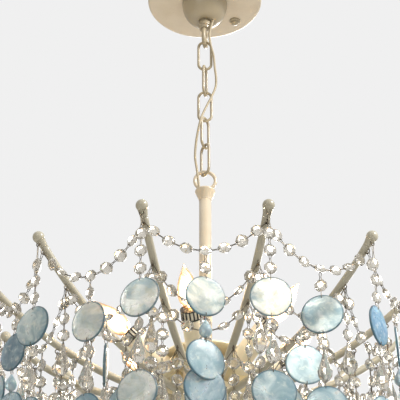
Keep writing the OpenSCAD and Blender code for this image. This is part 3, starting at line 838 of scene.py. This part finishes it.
# The arms and the ball ends are painted in the greyer, darker copy of the cream, as painted shade.
build("iron_arms", arm.copies(arms_round, np.zeros((12, 3))), CREAM_PAINTED_ARM_SHADE, "lamp", ["arms"])

neck_t = np.linspace(0, 1, 8)
neck = np.stack([ARM_RADIUS + (BALL_R * 0.86 - ARM_RADIUS) * neck_t**1.6,
                 (TIP_LENGTH - BALL_R * 0.5) * neck_t], -1)
ball_t = np.linspace(-0.52, math.pi / 2, 14)
ball = np.stack([BALL_R * np.cos(ball_t), TIP_LENGTH + BALL_R * np.sin(ball_t)], -1)
ball[-1, 0] = 0
tip_profile = np.concatenate([[(0, 0)], neck, ball])[::-1]
tip = turned(tip_profile, 28).moved(tilt_y(90 - math.degrees(tip_theta)), arc_point(tip_theta))
build("ball_ends", tip.copies(arms_round, np.zeros((12, 3))), CREAM_PAINTED_ARM_SHADE, "lamp", ["ball_tips"])

# %% [markdown]
# ## Crystals, pins and drops as small meshes
#
# A crystal is a flat octagon with bevelled facets on both faces: a small table, a ring of star facets turned
# by half a side, and the girdle. Pins are loops of thin wire pinched in the middle, as pliers leave them, and
# they pass through the holes of the two pieces they join.


# %% Crystal, drop, pin and disc
BEAD_R, BEAD_T = 7 * MM, 6 * MM
BEAD_PITCH = 19.6 * MM


def octagon_crystal():
    """Rings of eight points across the crystal's thickness, its faces turned to the first axis."""
    step = math.pi / 4
    base = np.arange(8) * step + step / 2

    def ring(radius, x, twist=0.0):
        return np.stack([np.full(8, x), radius * np.cos(base + twist), radius * np.sin(base + twist)], -1)

    half = BEAD_T / 2
    rings = [ring(BEAD_R * 0.46, half), ring(BEAD_R * 0.8, half * 0.62, step / 2), ring(BEAD_R, half * 0.14),
             ring(BEAD_R, -half * 0.14), ring(BEAD_R * 0.8, -half * 0.62, step / 2), ring(BEAD_R * 0.46, -half)]
    points = np.concatenate(rings)
    k = np.arange(8)
    after = (k + 1) % 8
    first, second = k[1:-1], k[2:]
    tris = [np.stack([0 * first, first, second], -1), np.stack([40 + 0 * first, 40 + second, 40 + first], -1)]
    for inner, outer, flip in ((0, 8, False), (16, 8, True), (40, 32, True), (24, 32, False)):
        first = np.stack([inner + k, outer + k, inner + after], -1)
        second = np.stack([inner + after, outer + k, outer + after], -1)
        tris += [first[:, ::-1], second[:, ::-1]] if flip else [first, second]
    girdle = np.stack([16 + k, 24 + k, 24 + after, 16 + after], -1)
    return Surface(points, np.concatenate(tris), girdle)


def faceted_drop(length, width):
    """An almond-shaped pendant with eight flat sides, hung by its point from the origin."""
    share = np.array([0, 0.06, 0.3, 0.62, 0.8, 0.93, 1.0])
    radius = np.array([0.12, 0.2, 0.5, 1.0, 0.92, 0.5, 0.0]) * width / 2
    profile = np.stack([radius, -share * length], -1)
    profile = np.concatenate([[(0, 0)], profile])
    return turned(profile, 8)


def smooth_pear(length, width):
    """A smooth glass pear, hung by its point: its half-width follows the sine of a stretched share."""
    share = np.linspace(0, 1, 14)
    radius = width / 2 * np.sin(math.pi * share**1.7) ** 0.8
    profile = np.stack([np.maximum(radius, 0.5 * MM), -share * length], -1)
    return turned(np.concatenate([[(0, 0)], profile, [(0, -length)]]), 24)


def bow_pin(length, width=4.4 * MM, wire=0.38 * MM):
    """A loop of wire along the third axis, pinched in the middle: its width swells towards both ends."""
    t = np.linspace(0, 2 * math.pi, 16, endpoint=False)
    spread = width / 2 * np.sin(t) * (0.25 + 0.75 * np.abs(np.cos(t)))
    return tube(np.stack([spread, 0 * t, length / 2 * np.cos(t)], -1), wire, 5, closed=True)


def glass_disc(radius, seed, sides=48):
    """A slice of glass that faces the first axis. Its outline wanders a little from round, its faces swell
    towards the middle, and its edge is rounded."""
    rng = np.random.default_rng(seed)
    angle = np.linspace(0, 2 * math.pi, sides, endpoint=False)
    phase = rng.uniform(0, 2 * math.pi, 3)
    outline = 1 + 0.016 * np.cos(2 * angle + phase[0]) + 0.008 * np.cos(3 * angle + phase[1]) - 0.014
    edge = np.linspace(-math.pi / 2, math.pi / 2, 7)
    share = np.concatenate([[0.3, 0.6, 0.84], 0.955 + 0.045 * np.cos(edge), [0.84, 0.6, 0.3]])
    half, bulge = 1.1 * MM, 0.9 * MM
    swell = half + bulge * (1 - share**2)
    height = np.concatenate([-swell[:3], half * np.sin(edge), swell[-3:]])
    bend = 0.7 * MM * np.cos(angle + phase[2])
    y = radius * share[:, None] * outline[None] * np.cos(angle)[None]
    z = radius * share[:, None] * outline[None] * np.sin(angle)[None]
    x = height[:, None] + bend[None] * share[:, None] ** 2
    points = np.stack([x, y, z], -1).reshape(-1, 3)
    count = len(share)
    quads = grid_quads(count, sides)
    tris = np.concatenate([fan(np.arange(sides), count * sides, flip=True),
                           fan(np.arange(sides) + (count - 1) * sides, count * sides + 1)])
    points = np.concatenate([points, [[-half - bulge, 0, 0], [half + bulge, 0, 0]]])
    rim = np.concatenate([np.repeat(share, sides), [0, 0]])
    return Surface(points, tris, quads, rim=rim)


BEAD = octagon_crystal()
print("crystal points", len(BEAD.points), "triangles", len(BEAD.tris) + 2 * len(BEAD.quads))

# %% [markdown]
# ## Swags
#
# A strand of crystals between two arms hangs in a catenary, the curve of any even chain. Its parameter is
# found from the strand's length and span by halving an interval, and crystals sit at even steps along it.


# %% Swags of crystals
HOOK_R = 2.6 * MM
HOOK_ROWS = [0.243, 0.209, 0.171, 0.115]
INNER_ROW = 0.072
SWAG_BEADS = [7, 7, 5, 3]
SWAG_LENGTHS = [0.147, 0.154, 0.116, 0.084]
CROWN_LENGTHS = [0.152, 0.147, 0.150, 0.155, 0.149, 0.152, 0.147, 0.156, 0.150, 0.153, 0.162, 0.147]
HALF_BAY = math.radians(15)
BEAD_HOLE = 4.6 * MM
PIN_LENGTH = 0.013


def hook_z(r):
    """Height of the ring under the arm at a distance from the lamp's axis."""
    return arm_z(r) - ARM_RADIUS / math.cos(arm_theta(r)) - HOOK_R + 0.4 * MM


def catenary(span, length):
    """The parameter a of the curve whose length, 2a sinh(span / 2a), is the one given."""
    low, high = 0.005, 2.0
    for _ in range(60):
        a = (low + high) / 2
        low, high = (a, high) if 2 * a * math.sinh(span / 2 / a) > length else (low, a)
    return a


def swag_length(row, bay):
    """The crown's swags differ a little, each cut by hand; those of an inner row are alike."""
    return CROWN_LENGTHS[bay] if row == 0 else SWAG_LENGTHS[row]


def swag(row, bay=0):
    """The curve's parameter, its distance from the axis and the height of its lowest point."""
    span = 2 * HOOK_ROWS[row] * math.sin(HALF_BAY)
    a = catenary(span, swag_length(row, bay))
    return a, HOOK_ROWS[row] * math.cos(HALF_BAY), hook_z(HOOK_ROWS[row]) - a * (math.cosh(span / 2 / a) - 1)


def along_x(angle):
    """Matrices that turn about the first axis, one for each angle in radians."""
    c, s = np.cos(angle), np.sin(angle)
    one, zero = np.ones_like(c), np.zeros_like(c)
    return np.stack([one, zero, zero, zero, c, -s, zero, s, c], -1).reshape(-1, 3, 3)


def roll_about(direction, angle):
    """Matrices that turn about a direction each (Rodrigues): the part along it stays, the rest turns."""
    x, y, z = direction.T
    zero = np.zeros_like(x)
    k = np.stack([zero, -z, y, z, zero, -x, -y, x, zero], -1).reshape(-1, 3, 3)
    s, c = np.sin(angle)[:, None, None], np.cos(angle)[:, None, None]
    return np.eye(3) + s * k + (1 - c) * (k @ k)


rng = np.random.default_rng(7)
swag_crystals = [[], []]
swag_wires = []
for row, count in enumerate(SWAG_BEADS):
    s = (np.arange(count) - (count - 1) / 2) * BEAD_PITCH
    for bay, azimuth in enumerate(BAY_AZIMUTHS):
        a, plane, low = swag(row, bay)
        frame_here = facing(azimuth)
        spots = np.stack([np.full(count, plane), a * np.arcsinh(s / a), low + np.sqrt(a * a + s * s) - a], -1)
        lean = np.arctan(s / a)
        strand_way = np.stack([0 * lean, np.cos(lean), np.sin(lean)], -1)
        rolls = roll_about(strand_way, rng.normal(0, 0.8, count))
        turns = frame_here @ rolls @ along_x(lean)
        swag_crystals[min(row, 1)].append(BEAD.copies(turns, spots @ frame_here.T))
        ends = swag_length(row, bay) / 2
        gaps = np.concatenate([[-ends], s, [ends]])
        starts, stops = gaps[:-1] + BEAD_HOLE, gaps[1:] - BEAD_HOLE
        starts[0], stops[-1] = -ends + 1 * MM, ends - 1 * MM
        for start, stop in zip(starts, stops):
            knots = np.linspace(start, stop, 1 + max(1, round((stop - start) / PIN_LENGTH)))
            for begin, end in zip(knots, knots[1:]):
                mid = (begin + end) / 2
                where = np.array([plane, a * math.asinh(mid / a), low + math.hypot(a, mid) - a])
                pin = along_x(np.array(math.atan(mid / a) - math.pi / 2))[0]
                swag_wires.append(bow_pin(end - begin + 1 * MM).moved(frame_here @ pin, frame_here @ where))
for name, crystals in zip(("crown_swag", "inner_swag"), swag_crystals):
    build(name + "_crystals", joined(crystals), CRYSTAL, "lamp", [name + "_beads"], smooth=False)
build("swag_wires", joined(swag_wires), WIRE, "lamp", ["swag_pins"])

hook_t = round_path[::3]
hook_path = np.stack([HOOK_R * np.cos(hook_t), 0 * hook_t, HOOK_R * np.sin(hook_t)], -1)
hook = tube(hook_path, 0.6 * MM, 8, closed=True)
TIP_RING_Z = CROWN_Z - BALL_R - HOOK_R + 0.8 * MM
hooks = []
for azimuth in ARM_AZIMUTHS:
    here = facing(azimuth)
    places = np.array([[r, 0, hook_z(r)] for r in HOOK_ROWS + [INNER_ROW]])
    hooks.append(hook.copies([here] * len(places), places @ here.T))
    hooks.append(hook.moved(here @ turn_z(90), here @ np.array([CROWN_R, 0, TIP_RING_Z])))
build("strand_hooks", joined(hooks), WIRE, "lamp", ["arm_hooks"])

# %% [markdown]
# ## Drops
#
# Every drop is a strand of crystals, discs and sometimes an almond pendant, joined by pins. One function lays
# a strand out below its hook, turned as a whole on its wire, with each piece turned a little more on its own.


# %% Strands
def strand(azimuth, distance, top, pieces, turn, seed):
    """Crystals, discs and wires of one strand. pieces lists (kind, depth, value): depth is below the top, and
    value is a disc's tone or a pendant's length."""
    rng = np.random.default_rng(seed)
    here = facing(azimuth)
    hook_at = here @ np.array([distance, 0, top])
    crystals, discs, wires = [], [], []
    ends = [(0.0, 0.0, False)]
    for kind, depth, value in pieces:
        centre = hook_at + np.array([0, 0, -depth])
        own = here @ turn_z(turn + rng.normal(0, 5))
        if kind in ("bead", "still_bead"):
            own_turn = rng.normal(0, 32)
            bead_turn = 0 if kind == "still_bead" else turn + own_turn
            crystals.append(BEAD.moved(here @ turn_z(bead_turn), centre))
            ends.append((depth - 4.8 * MM, depth + 4.8 * MM, False))
        elif kind in ("disc", "back_disc"):
            disc = glass_disc(DISC_R, seed * 31 + int(depth / MM))
            disc.marks["tone"] = np.full(len(disc.points), min(value, 1.0))
            forward = own @ np.array([-2.5 * MM if kind == "back_disc" else 0, 0, 0])
            discs.append(disc.moved(own, centre + forward))
            if kind == "back_disc":
                ends[-1] = (ends[-1][0], depth - DISC_R + 2 * MM, True)
                ends.append((ends[-1][1] + 2 * MM, depth + DISC_R - 3.4 * MM, True))
            else:
                ends.append((depth - DISC_R + 3.4 * MM, depth + DISC_R - 3.4 * MM, True))
        elif kind == "pear":
            pear = smooth_pear(value, 13 * MM)
            pear.marks.update(tone=np.full(len(pear.points), 0.6), rim=np.zeros(len(pear.points)))
            discs.append(pear.moved(own, centre))
            ends.append((depth + 2 * MM, depth + value - 2 * MM, False))
        else:
            crystals.append(faceted_drop(value, 15 * MM).moved(own, centre))
            ends.append((depth + 2 * MM, depth + value - 2 * MM, False))
    for (_, above, flat_above), (below, _, flat_below) in zip(ends, ends[1:]):
        gap = max(below - above, 3 * MM) + 1.4 * MM
        at = hook_at + np.array([0, 0, -(above + below) / 2])
        round_edge = flat_above or flat_below
        pin = bow_pin(gap, 6.8 * MM if round_edge else 4.4 * MM)
        wires.append(pin.moved(here @ turn_z(turn + (0 if round_edge else 75)), at))
    return crystals, discs, wires


DISC_R = 22 * MM
TONES_TIP = [0.0, 0.85, 0.3, 0.5, 0.2, 0.7, 0.4, 0.5, 0.3, 0.75, 0.35, 0.0]
TONES_TIP_LOW = [0.45, 0.5, 0.7, 0.3, 0.5, 0.85, 0.2, 0.6, 0.45, 0.5, 0.45, 0.05]
TONES_SWAG = [0.35, 0.6, 0.2, 0.5, 0.7, 0.4, 0.6, 0.3, 0.5, 1.0, 0.12, 0.2]
TONES_SWAG_LOW = [0.5, 0.7, 0.4, 0.6, 0.3, 0.5, 0.75, 0.5, 0.4, 0.55, 0.6, 0.5]
TIP_TURNS = [-18, 5, 20, -25, 8, 30, -18, 10, -30, 15, 5, -12]
SWAG_TURNS = [-35, 30, -20, 15, -35, 10, 24, -12, 32, 22, -8, 28]
SWAG_PLANE = swag(0)[1]
BEAD_LOOP = 5
TIP_LOW = TIP_RING_Z - HOOK_R
TIP_DEPTH = TIP_LOW - CROWN_Z


def finish_strand(name, parts, body, node):
    """Makes the crystals, discs and wires of one strand or row into pieces; the discs stand for the node."""
    crystals, discs, wires = parts
    stands = [node]
    if discs:
        build(name + "_discs", joined(discs), AQUA, body, stands)
    build(name + "_crystals", joined(crystals), CRYSTAL, body, stands, smooth=False)
    build(name + "_wires", joined(wires), WIRE, body, stands)


for k in range(12):
    pieces = [("still_bead", 33, 0), ("still_bead", 52.7, 0), ("still_bead", 72.9, 0),
              ("disc", 105, TONES_TIP[k]), ("bead", 134.5, 0), ("drop", 143.5, 34 * MM),
              ("disc", 205, TONES_TIP_LOW[k])]
    pieces = [(kind, TIP_DEPTH + z * MM, value) for kind, z, value in pieces]
    name = f"tip_drop_{k + 1:02d}"
    parts = strand(ARM_AZIMUTHS[k], CROWN_R, TIP_LOW, pieces, TIP_TURNS[k], 100 + k)
    finish_strand(name, parts, name, name)

for k in range(12):
    pieces = [("bead", 19.5, 0), ("disc", 52, TONES_SWAG[k])]
    if k % 2:
        pieces += [("pear", 75, 22.5 * MM), ("disc", 120, TONES_SWAG_LOW[k]),
                   ("back_disc", 148, TONES_SWAG_LOW[k] + 0.15)]
    else:
        pieces += [("bead", 84, 0), ("drop", 93, 34 * MM), ("disc", 152, TONES_SWAG_LOW[k])]
    pieces = [(kind, (depth - BEAD_LOOP) * MM, value) for kind, depth, value in pieces]
    name = f"swag_drop_{k + 1:02d}"
    parts = strand(BAY_AZIMUTHS[k], SWAG_PLANE, swag(0, k)[2] - BEAD_LOOP * MM, pieces, SWAG_TURNS[k], 200 + k)
    finish_strand(name, parts, name, name)


# %% Rows of inner strands
def row_of_strands(azimuths, distance, top, beads, discs, drops, seed, start=0.0, row_turns=None):
    """Strands at each azimuth, all alike but for their turns and tones."""
    rng = np.random.default_rng(seed)
    groups = [[], [], []]
    for number, azimuth in enumerate(azimuths):
        pieces = [("bead", z * MM, 0) for z in beads]
        pieces += [("disc", z * MM, rng.choice(INNER_TONES)) for z in discs]
        pieces += [("drop", depth * MM, length * MM) for depth, length in drops]
        pieces = [(kind, depth - start, value) for kind, depth, value in pieces]
        pieces.sort(key=lambda piece: piece[1])
        turn = row_turns[number] if row_turns else rng.uniform(-8, 8)
        parts = strand(azimuth, distance, top - start, pieces, turn, seed * 50 + number)
        for group, part in zip(groups, parts):
            group.extend(part)
    return groups


def both(first, second):
    """Two rows as one."""
    return [a + b for a, b in zip(first, second)]


INNER_TONES = [0.1, 0.3, 0.5, 0.5, 0.55, 0.7]
TIER_2_TURNS = [-15, 12, -40, 10, 45, -14, 40, -10, 35, 15, -56, 10]
tier_2 = both(
    row_of_strands(ARM_AZIMUTHS, HOOK_ROWS[1], hook_z(HOOK_ROWS[1]), [18, 37, 56, 112, 131], [],
                   [(64, 39), (140, 46)], 11, HOOK_R),
    both(row_of_strands(BAY_AZIMUTHS[::2], swag(1)[1], swag(1)[2], [19.6, 86], [53], [(98, 46)], 12, 5 * MM,
                        TIER_2_TURNS[::2]),
         row_of_strands(BAY_AZIMUTHS[1::2], swag(1)[1], swag(1)[2], [19.6, 39, 58.5, 86], [], [(98, 46)], 18,
                        5 * MM, TIER_2_TURNS[1::2])),
)
finish_strand("tier_2", tier_2, "lamp", "tier_2_drops")
tier_3 = both(
    row_of_strands(ARM_AZIMUTHS, HOOK_ROWS[2], hook_z(HOOK_ROWS[2]), [18, 37, 56, 75, 131, 150], [],
                   [(83, 39), (159, 46)], 13, HOOK_R),
    row_of_strands(BAY_AZIMUTHS, swag(2)[1], swag(2)[2], [19.6, 39, 105], [72], [(117, 46)], 14, 5 * MM),
)
finish_strand("tier_3", tier_3, "lamp", "tier_3_drops")
tier_4 = both(both(
    row_of_strands(ARM_AZIMUTHS, HOOK_ROWS[3], hook_z(HOOK_ROWS[3]), [18, 37, 56, 75, 94, 160], [127],
                   [(172, 40)], 15, HOOK_R),
    row_of_strands(BAY_AZIMUTHS, swag(3)[1], swag(3)[2], [19.6, 39, 58, 78, 98, 118], [], [(130, 40)], 16,
                   5 * MM)),
    row_of_strands(ARM_AZIMUTHS, INNER_ROW, hook_z(INNER_ROW), [18 + 19.6 * i for i in range(9)], [],
                   [(187, 50)], 17, HOOK_R))
finish_strand("tier_4", tier_4, "lamp", "tier_4_drops")

# %% [markdown]
# ## Bottom finial and ball
#
# The centre ends in a small turned finial with a strand of crystals and a cut ball below it.

# %% Finial and ball
finial_top, finial_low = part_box("bottom_finial")[1].z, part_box("bottom_finial")[0].z
finial_profile = rounded([
    (0, 0), (16, 0), (18, -3), (17, -7), (9, -12), (7, -16), (8.5, -19), (6, -23), (0, -26),
], 1.6, 5) * MM
finial = turned(finial_profile, 48).moved(offset=(0, 0, finial_top))
eye = hook.moved(offset=(0, 0, finial_low + HOOK_R + 0.6 * MM))
build("bottom_cap", joined([finial, eye]), CREAM, "lamp", ["bottom_finial"])

ball_pivot = joints["ball_swing"]["pos_m"][2]
BALL_CRYSTAL_R = 20 * MM


def cut_ball(radius, bands=9, around=14):
    """A ball of flat facets: points on rings from pole to pole, every other ring turned by half a step."""
    lat = np.linspace(math.pi / 2, -math.pi / 2, bands + 2)[1:-1]
    turn = (np.arange(bands) % 2) * math.pi / around
    angle = np.linspace(0, 2 * math.pi, around, endpoint=False)[None] + turn[:, None]
    points = np.stack([np.cos(lat)[:, None] * np.cos(angle), np.cos(lat)[:, None] * np.sin(angle),
                       np.repeat(np.sin(lat)[:, None], around, 1)], -1).reshape(-1, 3) * radius
    tris = []
    k = np.arange(around)
    for band in range(bands - 1):
        here, there = band * around, (band + 1) * around
        ahead = (k + 1) % around
        a, b, c, d = here + k, here + ahead, there + k, there + ahead
        pair = ((a, c, d), (a, d, b)) if band % 2 else ((a, c, b), (b, c, d))
        tris += [np.stack(corners, -1) for corners in pair]
    tris.append(fan(k, len(points)))
    tris.append(fan(k + (bands - 1) * around, len(points) + 1, flip=True))
    return Surface(np.concatenate([points, [[0, 0, radius], [0, 0, -radius]]]), np.concatenate(tris))


ball_beads = 7
ball_centre = ball_pivot - (ball_beads + 1) * BEAD_PITCH - BALL_CRYSTAL_R + 2 * MM
beads_down = [BEAD.moved(facing(25 * i), (0, 0, ball_pivot - i * BEAD_PITCH)) for i in range(1, ball_beads + 1)]
pins_down = [bow_pin(10.4 * MM).moved(facing(25 * i), (0, 0, ball_pivot - (i + 0.5) * BEAD_PITCH))
             for i in range(0, ball_beads + 1)]
ball_crystal = cut_ball(BALL_CRYSTAL_R).moved(offset=(0, 0, ball_centre))
build("ball_and_beads", joined(beads_down + [ball_crystal]), CRYSTAL, "ball_drop", ["ball_drop"],
      smooth=False)
build("ball_wires", joined(pins_down), WIRE, "ball_drop", ["ball_drop"])

# %% [markdown]
# ## The six candles
#
# A short stub carries a turned cup, an ivory sleeve, the black lampholder and the bulb, all on one axis that
# rises outwards from the hub.

# %% Candles
CANDLE_AZIMUTHS = [-10 + 60 * k for k in range(6)]
CANDLE_RISE = 39
CANDLE_FOOT = np.array([22 * MM, 0, CROWN_Z - 100.5 * MM])
CUP_AT, CUP_TOP, CUP_R = 24, 37, 18
SLEEVE_AT, SLEEVE_TOP, SLEEVE_R, SLEEVE_BORE = 37, 81, 12, 10.5
HOLDER_BORE = 7.2
GLASS_AT = SLEEVE_TOP + 12
GLASS_LENGTH, GLASS_R, GLASS_FOOT_R = 54, 10, 5


def six(surface):
    """The surface, given on the candle's own axis in millimetres, at all six places."""
    lean = tilt_y(90 - CANDLE_RISE)
    scaled = Surface(surface.points * MM, surface.tris, surface.quads, **surface.marks).moved(lean, CANDLE_FOOT)
    return scaled.copies([facing(a) for a in CANDLE_AZIMUTHS], np.zeros((6, 3)))


quarter = np.linspace(0, math.pi / 2, 10)
cup_profile = np.concatenate([
    [(0, CUP_TOP - 2), (CUP_R - 2.5, CUP_TOP - 1.2), (CUP_R - 1.2, CUP_TOP), (CUP_R, CUP_TOP - 0.8),
     (CUP_R, CUP_TOP - 2.2)],
    np.stack([6 + (CUP_R - 6) * np.cos(quarter), CUP_AT + (CUP_TOP - CUP_AT - 3) * (1 - np.sin(quarter))], -1),
    [(5.0, CUP_AT - 1.0), (5.0, 4), (0, 4)],
])
# The cups are painted in the paler copy of the cream, as painted light.
build("cups", six(turned(cup_profile, 48)), CREAM_PAINTED_LIGHT, "lamp", ["candle_cups"])
sleeve_profile = rounded([(SLEEVE_BORE, SLEEVE_AT), (SLEEVE_R, SLEEVE_AT), (SLEEVE_R, SLEEVE_TOP),
                          (SLEEVE_BORE, SLEEVE_TOP), (SLEEVE_BORE, SLEEVE_AT)], 0.5)[:-1]
build("sleeves", six(turned_ring(sleeve_profile[::-1], 48)), IVORY, "lamp", ["candle_sleeves"])
skirt = turned_ring(rounded([
    (HOLDER_BORE, SLEEVE_AT + 8), (10, SLEEVE_AT + 8), (10, SLEEVE_TOP), (SLEEVE_R, SLEEVE_TOP),
    (SLEEVE_R, SLEEVE_TOP + 1.6), (10.8, SLEEVE_TOP + 1.8), (10.8, GLASS_AT - 1.6), (SLEEVE_R, GLASS_AT - 1.4),
    (SLEEVE_R - 0.3, GLASS_AT), (HOLDER_BORE, GLASS_AT), (HOLDER_BORE, SLEEVE_AT + 8),
], 0.4)[:-1][::-1], 48)
skirt_r, skirt_z = np.hypot(skirt.points[:, 0], skirt.points[:, 1]), skirt.points[:, 2]
# The skirt's wall between the ribs is marked to be painted pale, as painted highlight stripes.
painted_stripe_band = (skirt_r > 10.4) & (skirt_z > SLEEVE_TOP + 1.7) & (skirt_z < GLASS_AT - 1.5)
skirt.marks["slot"] = painted_stripe_band.astype(float)
rib_profile = [(SLEEVE_R - 1.8, -0.9), (SLEEVE_R - 0.1, -0.75), (SLEEVE_R - 0.1, 0.75), (SLEEVE_R - 1.8, 0.9)]
rib_low, rib_high = SLEEVE_TOP + 1, GLASS_AT - 0.8
rib = Surface([(x, y, z) for z in (rib_low, rib_high) for x, y in rib_profile], None,
              [[3, 2, 1, 0], [4, 5, 6, 7], [0, 1, 5, 4], [1, 2, 6, 5], [2, 3, 7, 6], [3, 0, 4, 7]], slot=0.0)
ribs = rib.copies([turn_z(22.5 * k) for k in range(16)], np.zeros((16, 3)))
build("holders", six(joined([skirt, ribs])), BLACK, "lamp", ["lampholders"])
turns = np.linspace(0, 1, 44)
cap_profile = np.concatenate([
    [(0, GLASS_AT)], np.stack([6.2 + 0.5 * np.cos(turns * 2 * math.pi * 5), GLASS_AT - 23 * turns], -1),
    [(3, GLASS_AT - 26), (0, GLASS_AT - 26)],
])
build("caps", six(turned(cap_profile, 32)), CAP, "lamp", ["bulb_caps"])


def flame_profile(inset, steps=28):
    """Half-width of the bulb along its length: a narrow foot, full low down, then drawn out to a point."""
    t = np.linspace(0, 1, steps)
    width = GLASS_FOOT_R * (1 - t) + GLASS_R * np.sin(math.pi * t**0.8) * (1 - 0.25 * t)
    width = np.maximum(width - inset, 0.3)
    width[-1] = 0
    return np.stack([width, GLASS_AT + GLASS_LENGTH * t], -1)


inner = turned(flame_profile(0.9)[::-1], 36)
inner.tris, inner.quads = inner.tris[:, ::-1], inner.quads[:, ::-1]
glass = joined([turned(flame_profile(0)[::-1], 36), inner])
glass.marks["along"] = (glass.points[:, 2] - GLASS_AT) / GLASS_LENGTH
build("flame_bulbs", six(glass), LIT_GLASS, "lamp", ["bulb_glass"])
stick = tube([(3.2, 0, GLASS_AT + 14), (4.2, 0, GLASS_AT + 22), (5.4, 0, GLASS_AT + 33)], 0.8, 8)
stand = turned([(0, GLASS_AT + 17), (2.2, GLASS_AT + 15), (2.5, GLASS_AT + 4), (2.5, GLASS_AT + 2),
                (0, GLASS_AT + 2)], 20)
sticks = stick.copies([turn_z(90 * k) for k in range(4)], np.zeros((4, 3)))
build("filaments", six(joined([stand, sticks])), FILAMENT, "lamp", ["bulb_filaments"])

# %% [markdown]
# ## Light and setting
#
# Soft studio light: a pale room all round, dimmer and warmer from below, with a large key light above on the
# right and a weaker fill on the left. Small warm lamps inside the bulbs light the crystals from within.

# %% Lights, world and floor
scene = bpy.context.scene
scene.view_settings.view_transform = "Standard"
world = bpy.data.worlds.new("world")
world.use_nodes = True
scene.world = world
nodes, links = world.node_tree.nodes, world.node_tree.links
nodes.clear()
out = nodes.new("ShaderNodeOutputWorld")
seen = nodes.new("ShaderNodeBackground")
seen.inputs["Color"].default_value = (*srgb(240, 240, 240), 1)
lit = nodes.new("ShaderNodeBackground")
ramp = nodes.new("ShaderNodeValToRGB")
ramp.color_ramp.elements[0].color = (0.24, 0.20, 0.155, 1)
ramp.color_ramp.elements[1].color = (0.86, 0.87, 0.88, 1)
place = nodes.new("ShaderNodeTexCoord")
split = nodes.new("ShaderNodeSeparateXYZ")
links.new(place.outputs["Generated"], split.inputs[0])
height = nodes.new("ShaderNodeMapRange")
height.inputs["From Min"].default_value = -0.7
height.inputs["From Max"].default_value = 0.75
sideways = nodes.new("ShaderNodeMath")
sideways.operation = "MULTIPLY_ADD"
sideways.inputs[1].default_value = 0.5
links.new(split.outputs["X"], sideways.inputs[0])
links.new(split.outputs["Z"], sideways.inputs[2])
links.new(sideways.outputs[0], height.inputs["Value"])
links.new(height.outputs[0], ramp.inputs[0])
links.new(ramp.outputs[0], lit.inputs["Color"])
lit.inputs["Strength"].default_value = 1.02
choose = nodes.new("ShaderNodeMixShader")
path = nodes.new("ShaderNodeLightPath")
links.new(path.outputs["Is Camera Ray"], choose.inputs[0])
links.new(lit.outputs[0], choose.inputs[1])
links.new(seen.outputs[0], choose.inputs[2])
links.new(choose.outputs[0], out.inputs[0])


def area_light(name, place, aim, size, power, colour=(1, 1, 1)):
    """A large soft lamp at a place, turned to face a point."""
    data = bpy.data.lights.new(name, "AREA")
    data.shape, data.size, data.energy, data.color = "DISK", size, power, colour
    lamp = bpy.data.objects.new(name, data)
    lamp.location = place
    lamp.rotation_euler = (Vector(aim) - Vector(place)).to_track_quat("-Z", "Y").to_euler()
    scene.collection.objects.link(lamp)


CENTRE = (0, 0, -0.5)
for name, where, size, power, colour in (
    ("key", (1.6, -0.85, 0.85), 0.7, 56, (1.0, 0.99, 0.98)),
    ("fill", (-0.9, -1.9, 0.2), 1.2, 6, (0.96, 0.98, 1.0)),
    ("back", (0.3, 1.8, 0.1), 1.0, 26, (1.0, 0.98, 0.95)),
):
    area_light(name, where, CENTRE, size, power, colour)

for number, azimuth in enumerate(CANDLE_AZIMUTHS):
    glow = bpy.data.lights.new(f"bulb_glow_{number}", "POINT")
    glow.energy, glow.color, glow.shadow_soft_size = 0.7, (1.0, 0.82, 0.58), 0.012
    lamp = bpy.data.objects.new(glow.name, glow)
    lean = tilt_y(90 - CANDLE_RISE) @ np.array([0, 0, (GLASS_AT + 30) * MM]) + CANDLE_FOOT
    lamp.location = facing(azimuth) @ lean
    scene.collection.objects.link(lamp)

floor_points = np.array([[-6, -6, 0], [6, -6, 0], [6, 6, 0], [-6, 6, 0]], float) + [0, 0, -1.9]
floor_finish = Finish("floor_finish", Roughness=0.9)
floor_finish.set("Base Color", srgb(226, 224, 220))
floor = build("floor", Surface(floor_points, None, [[0, 1, 2, 3]]), floor_finish.material, None)
floor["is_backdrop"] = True

# %% Sizes
low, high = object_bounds()
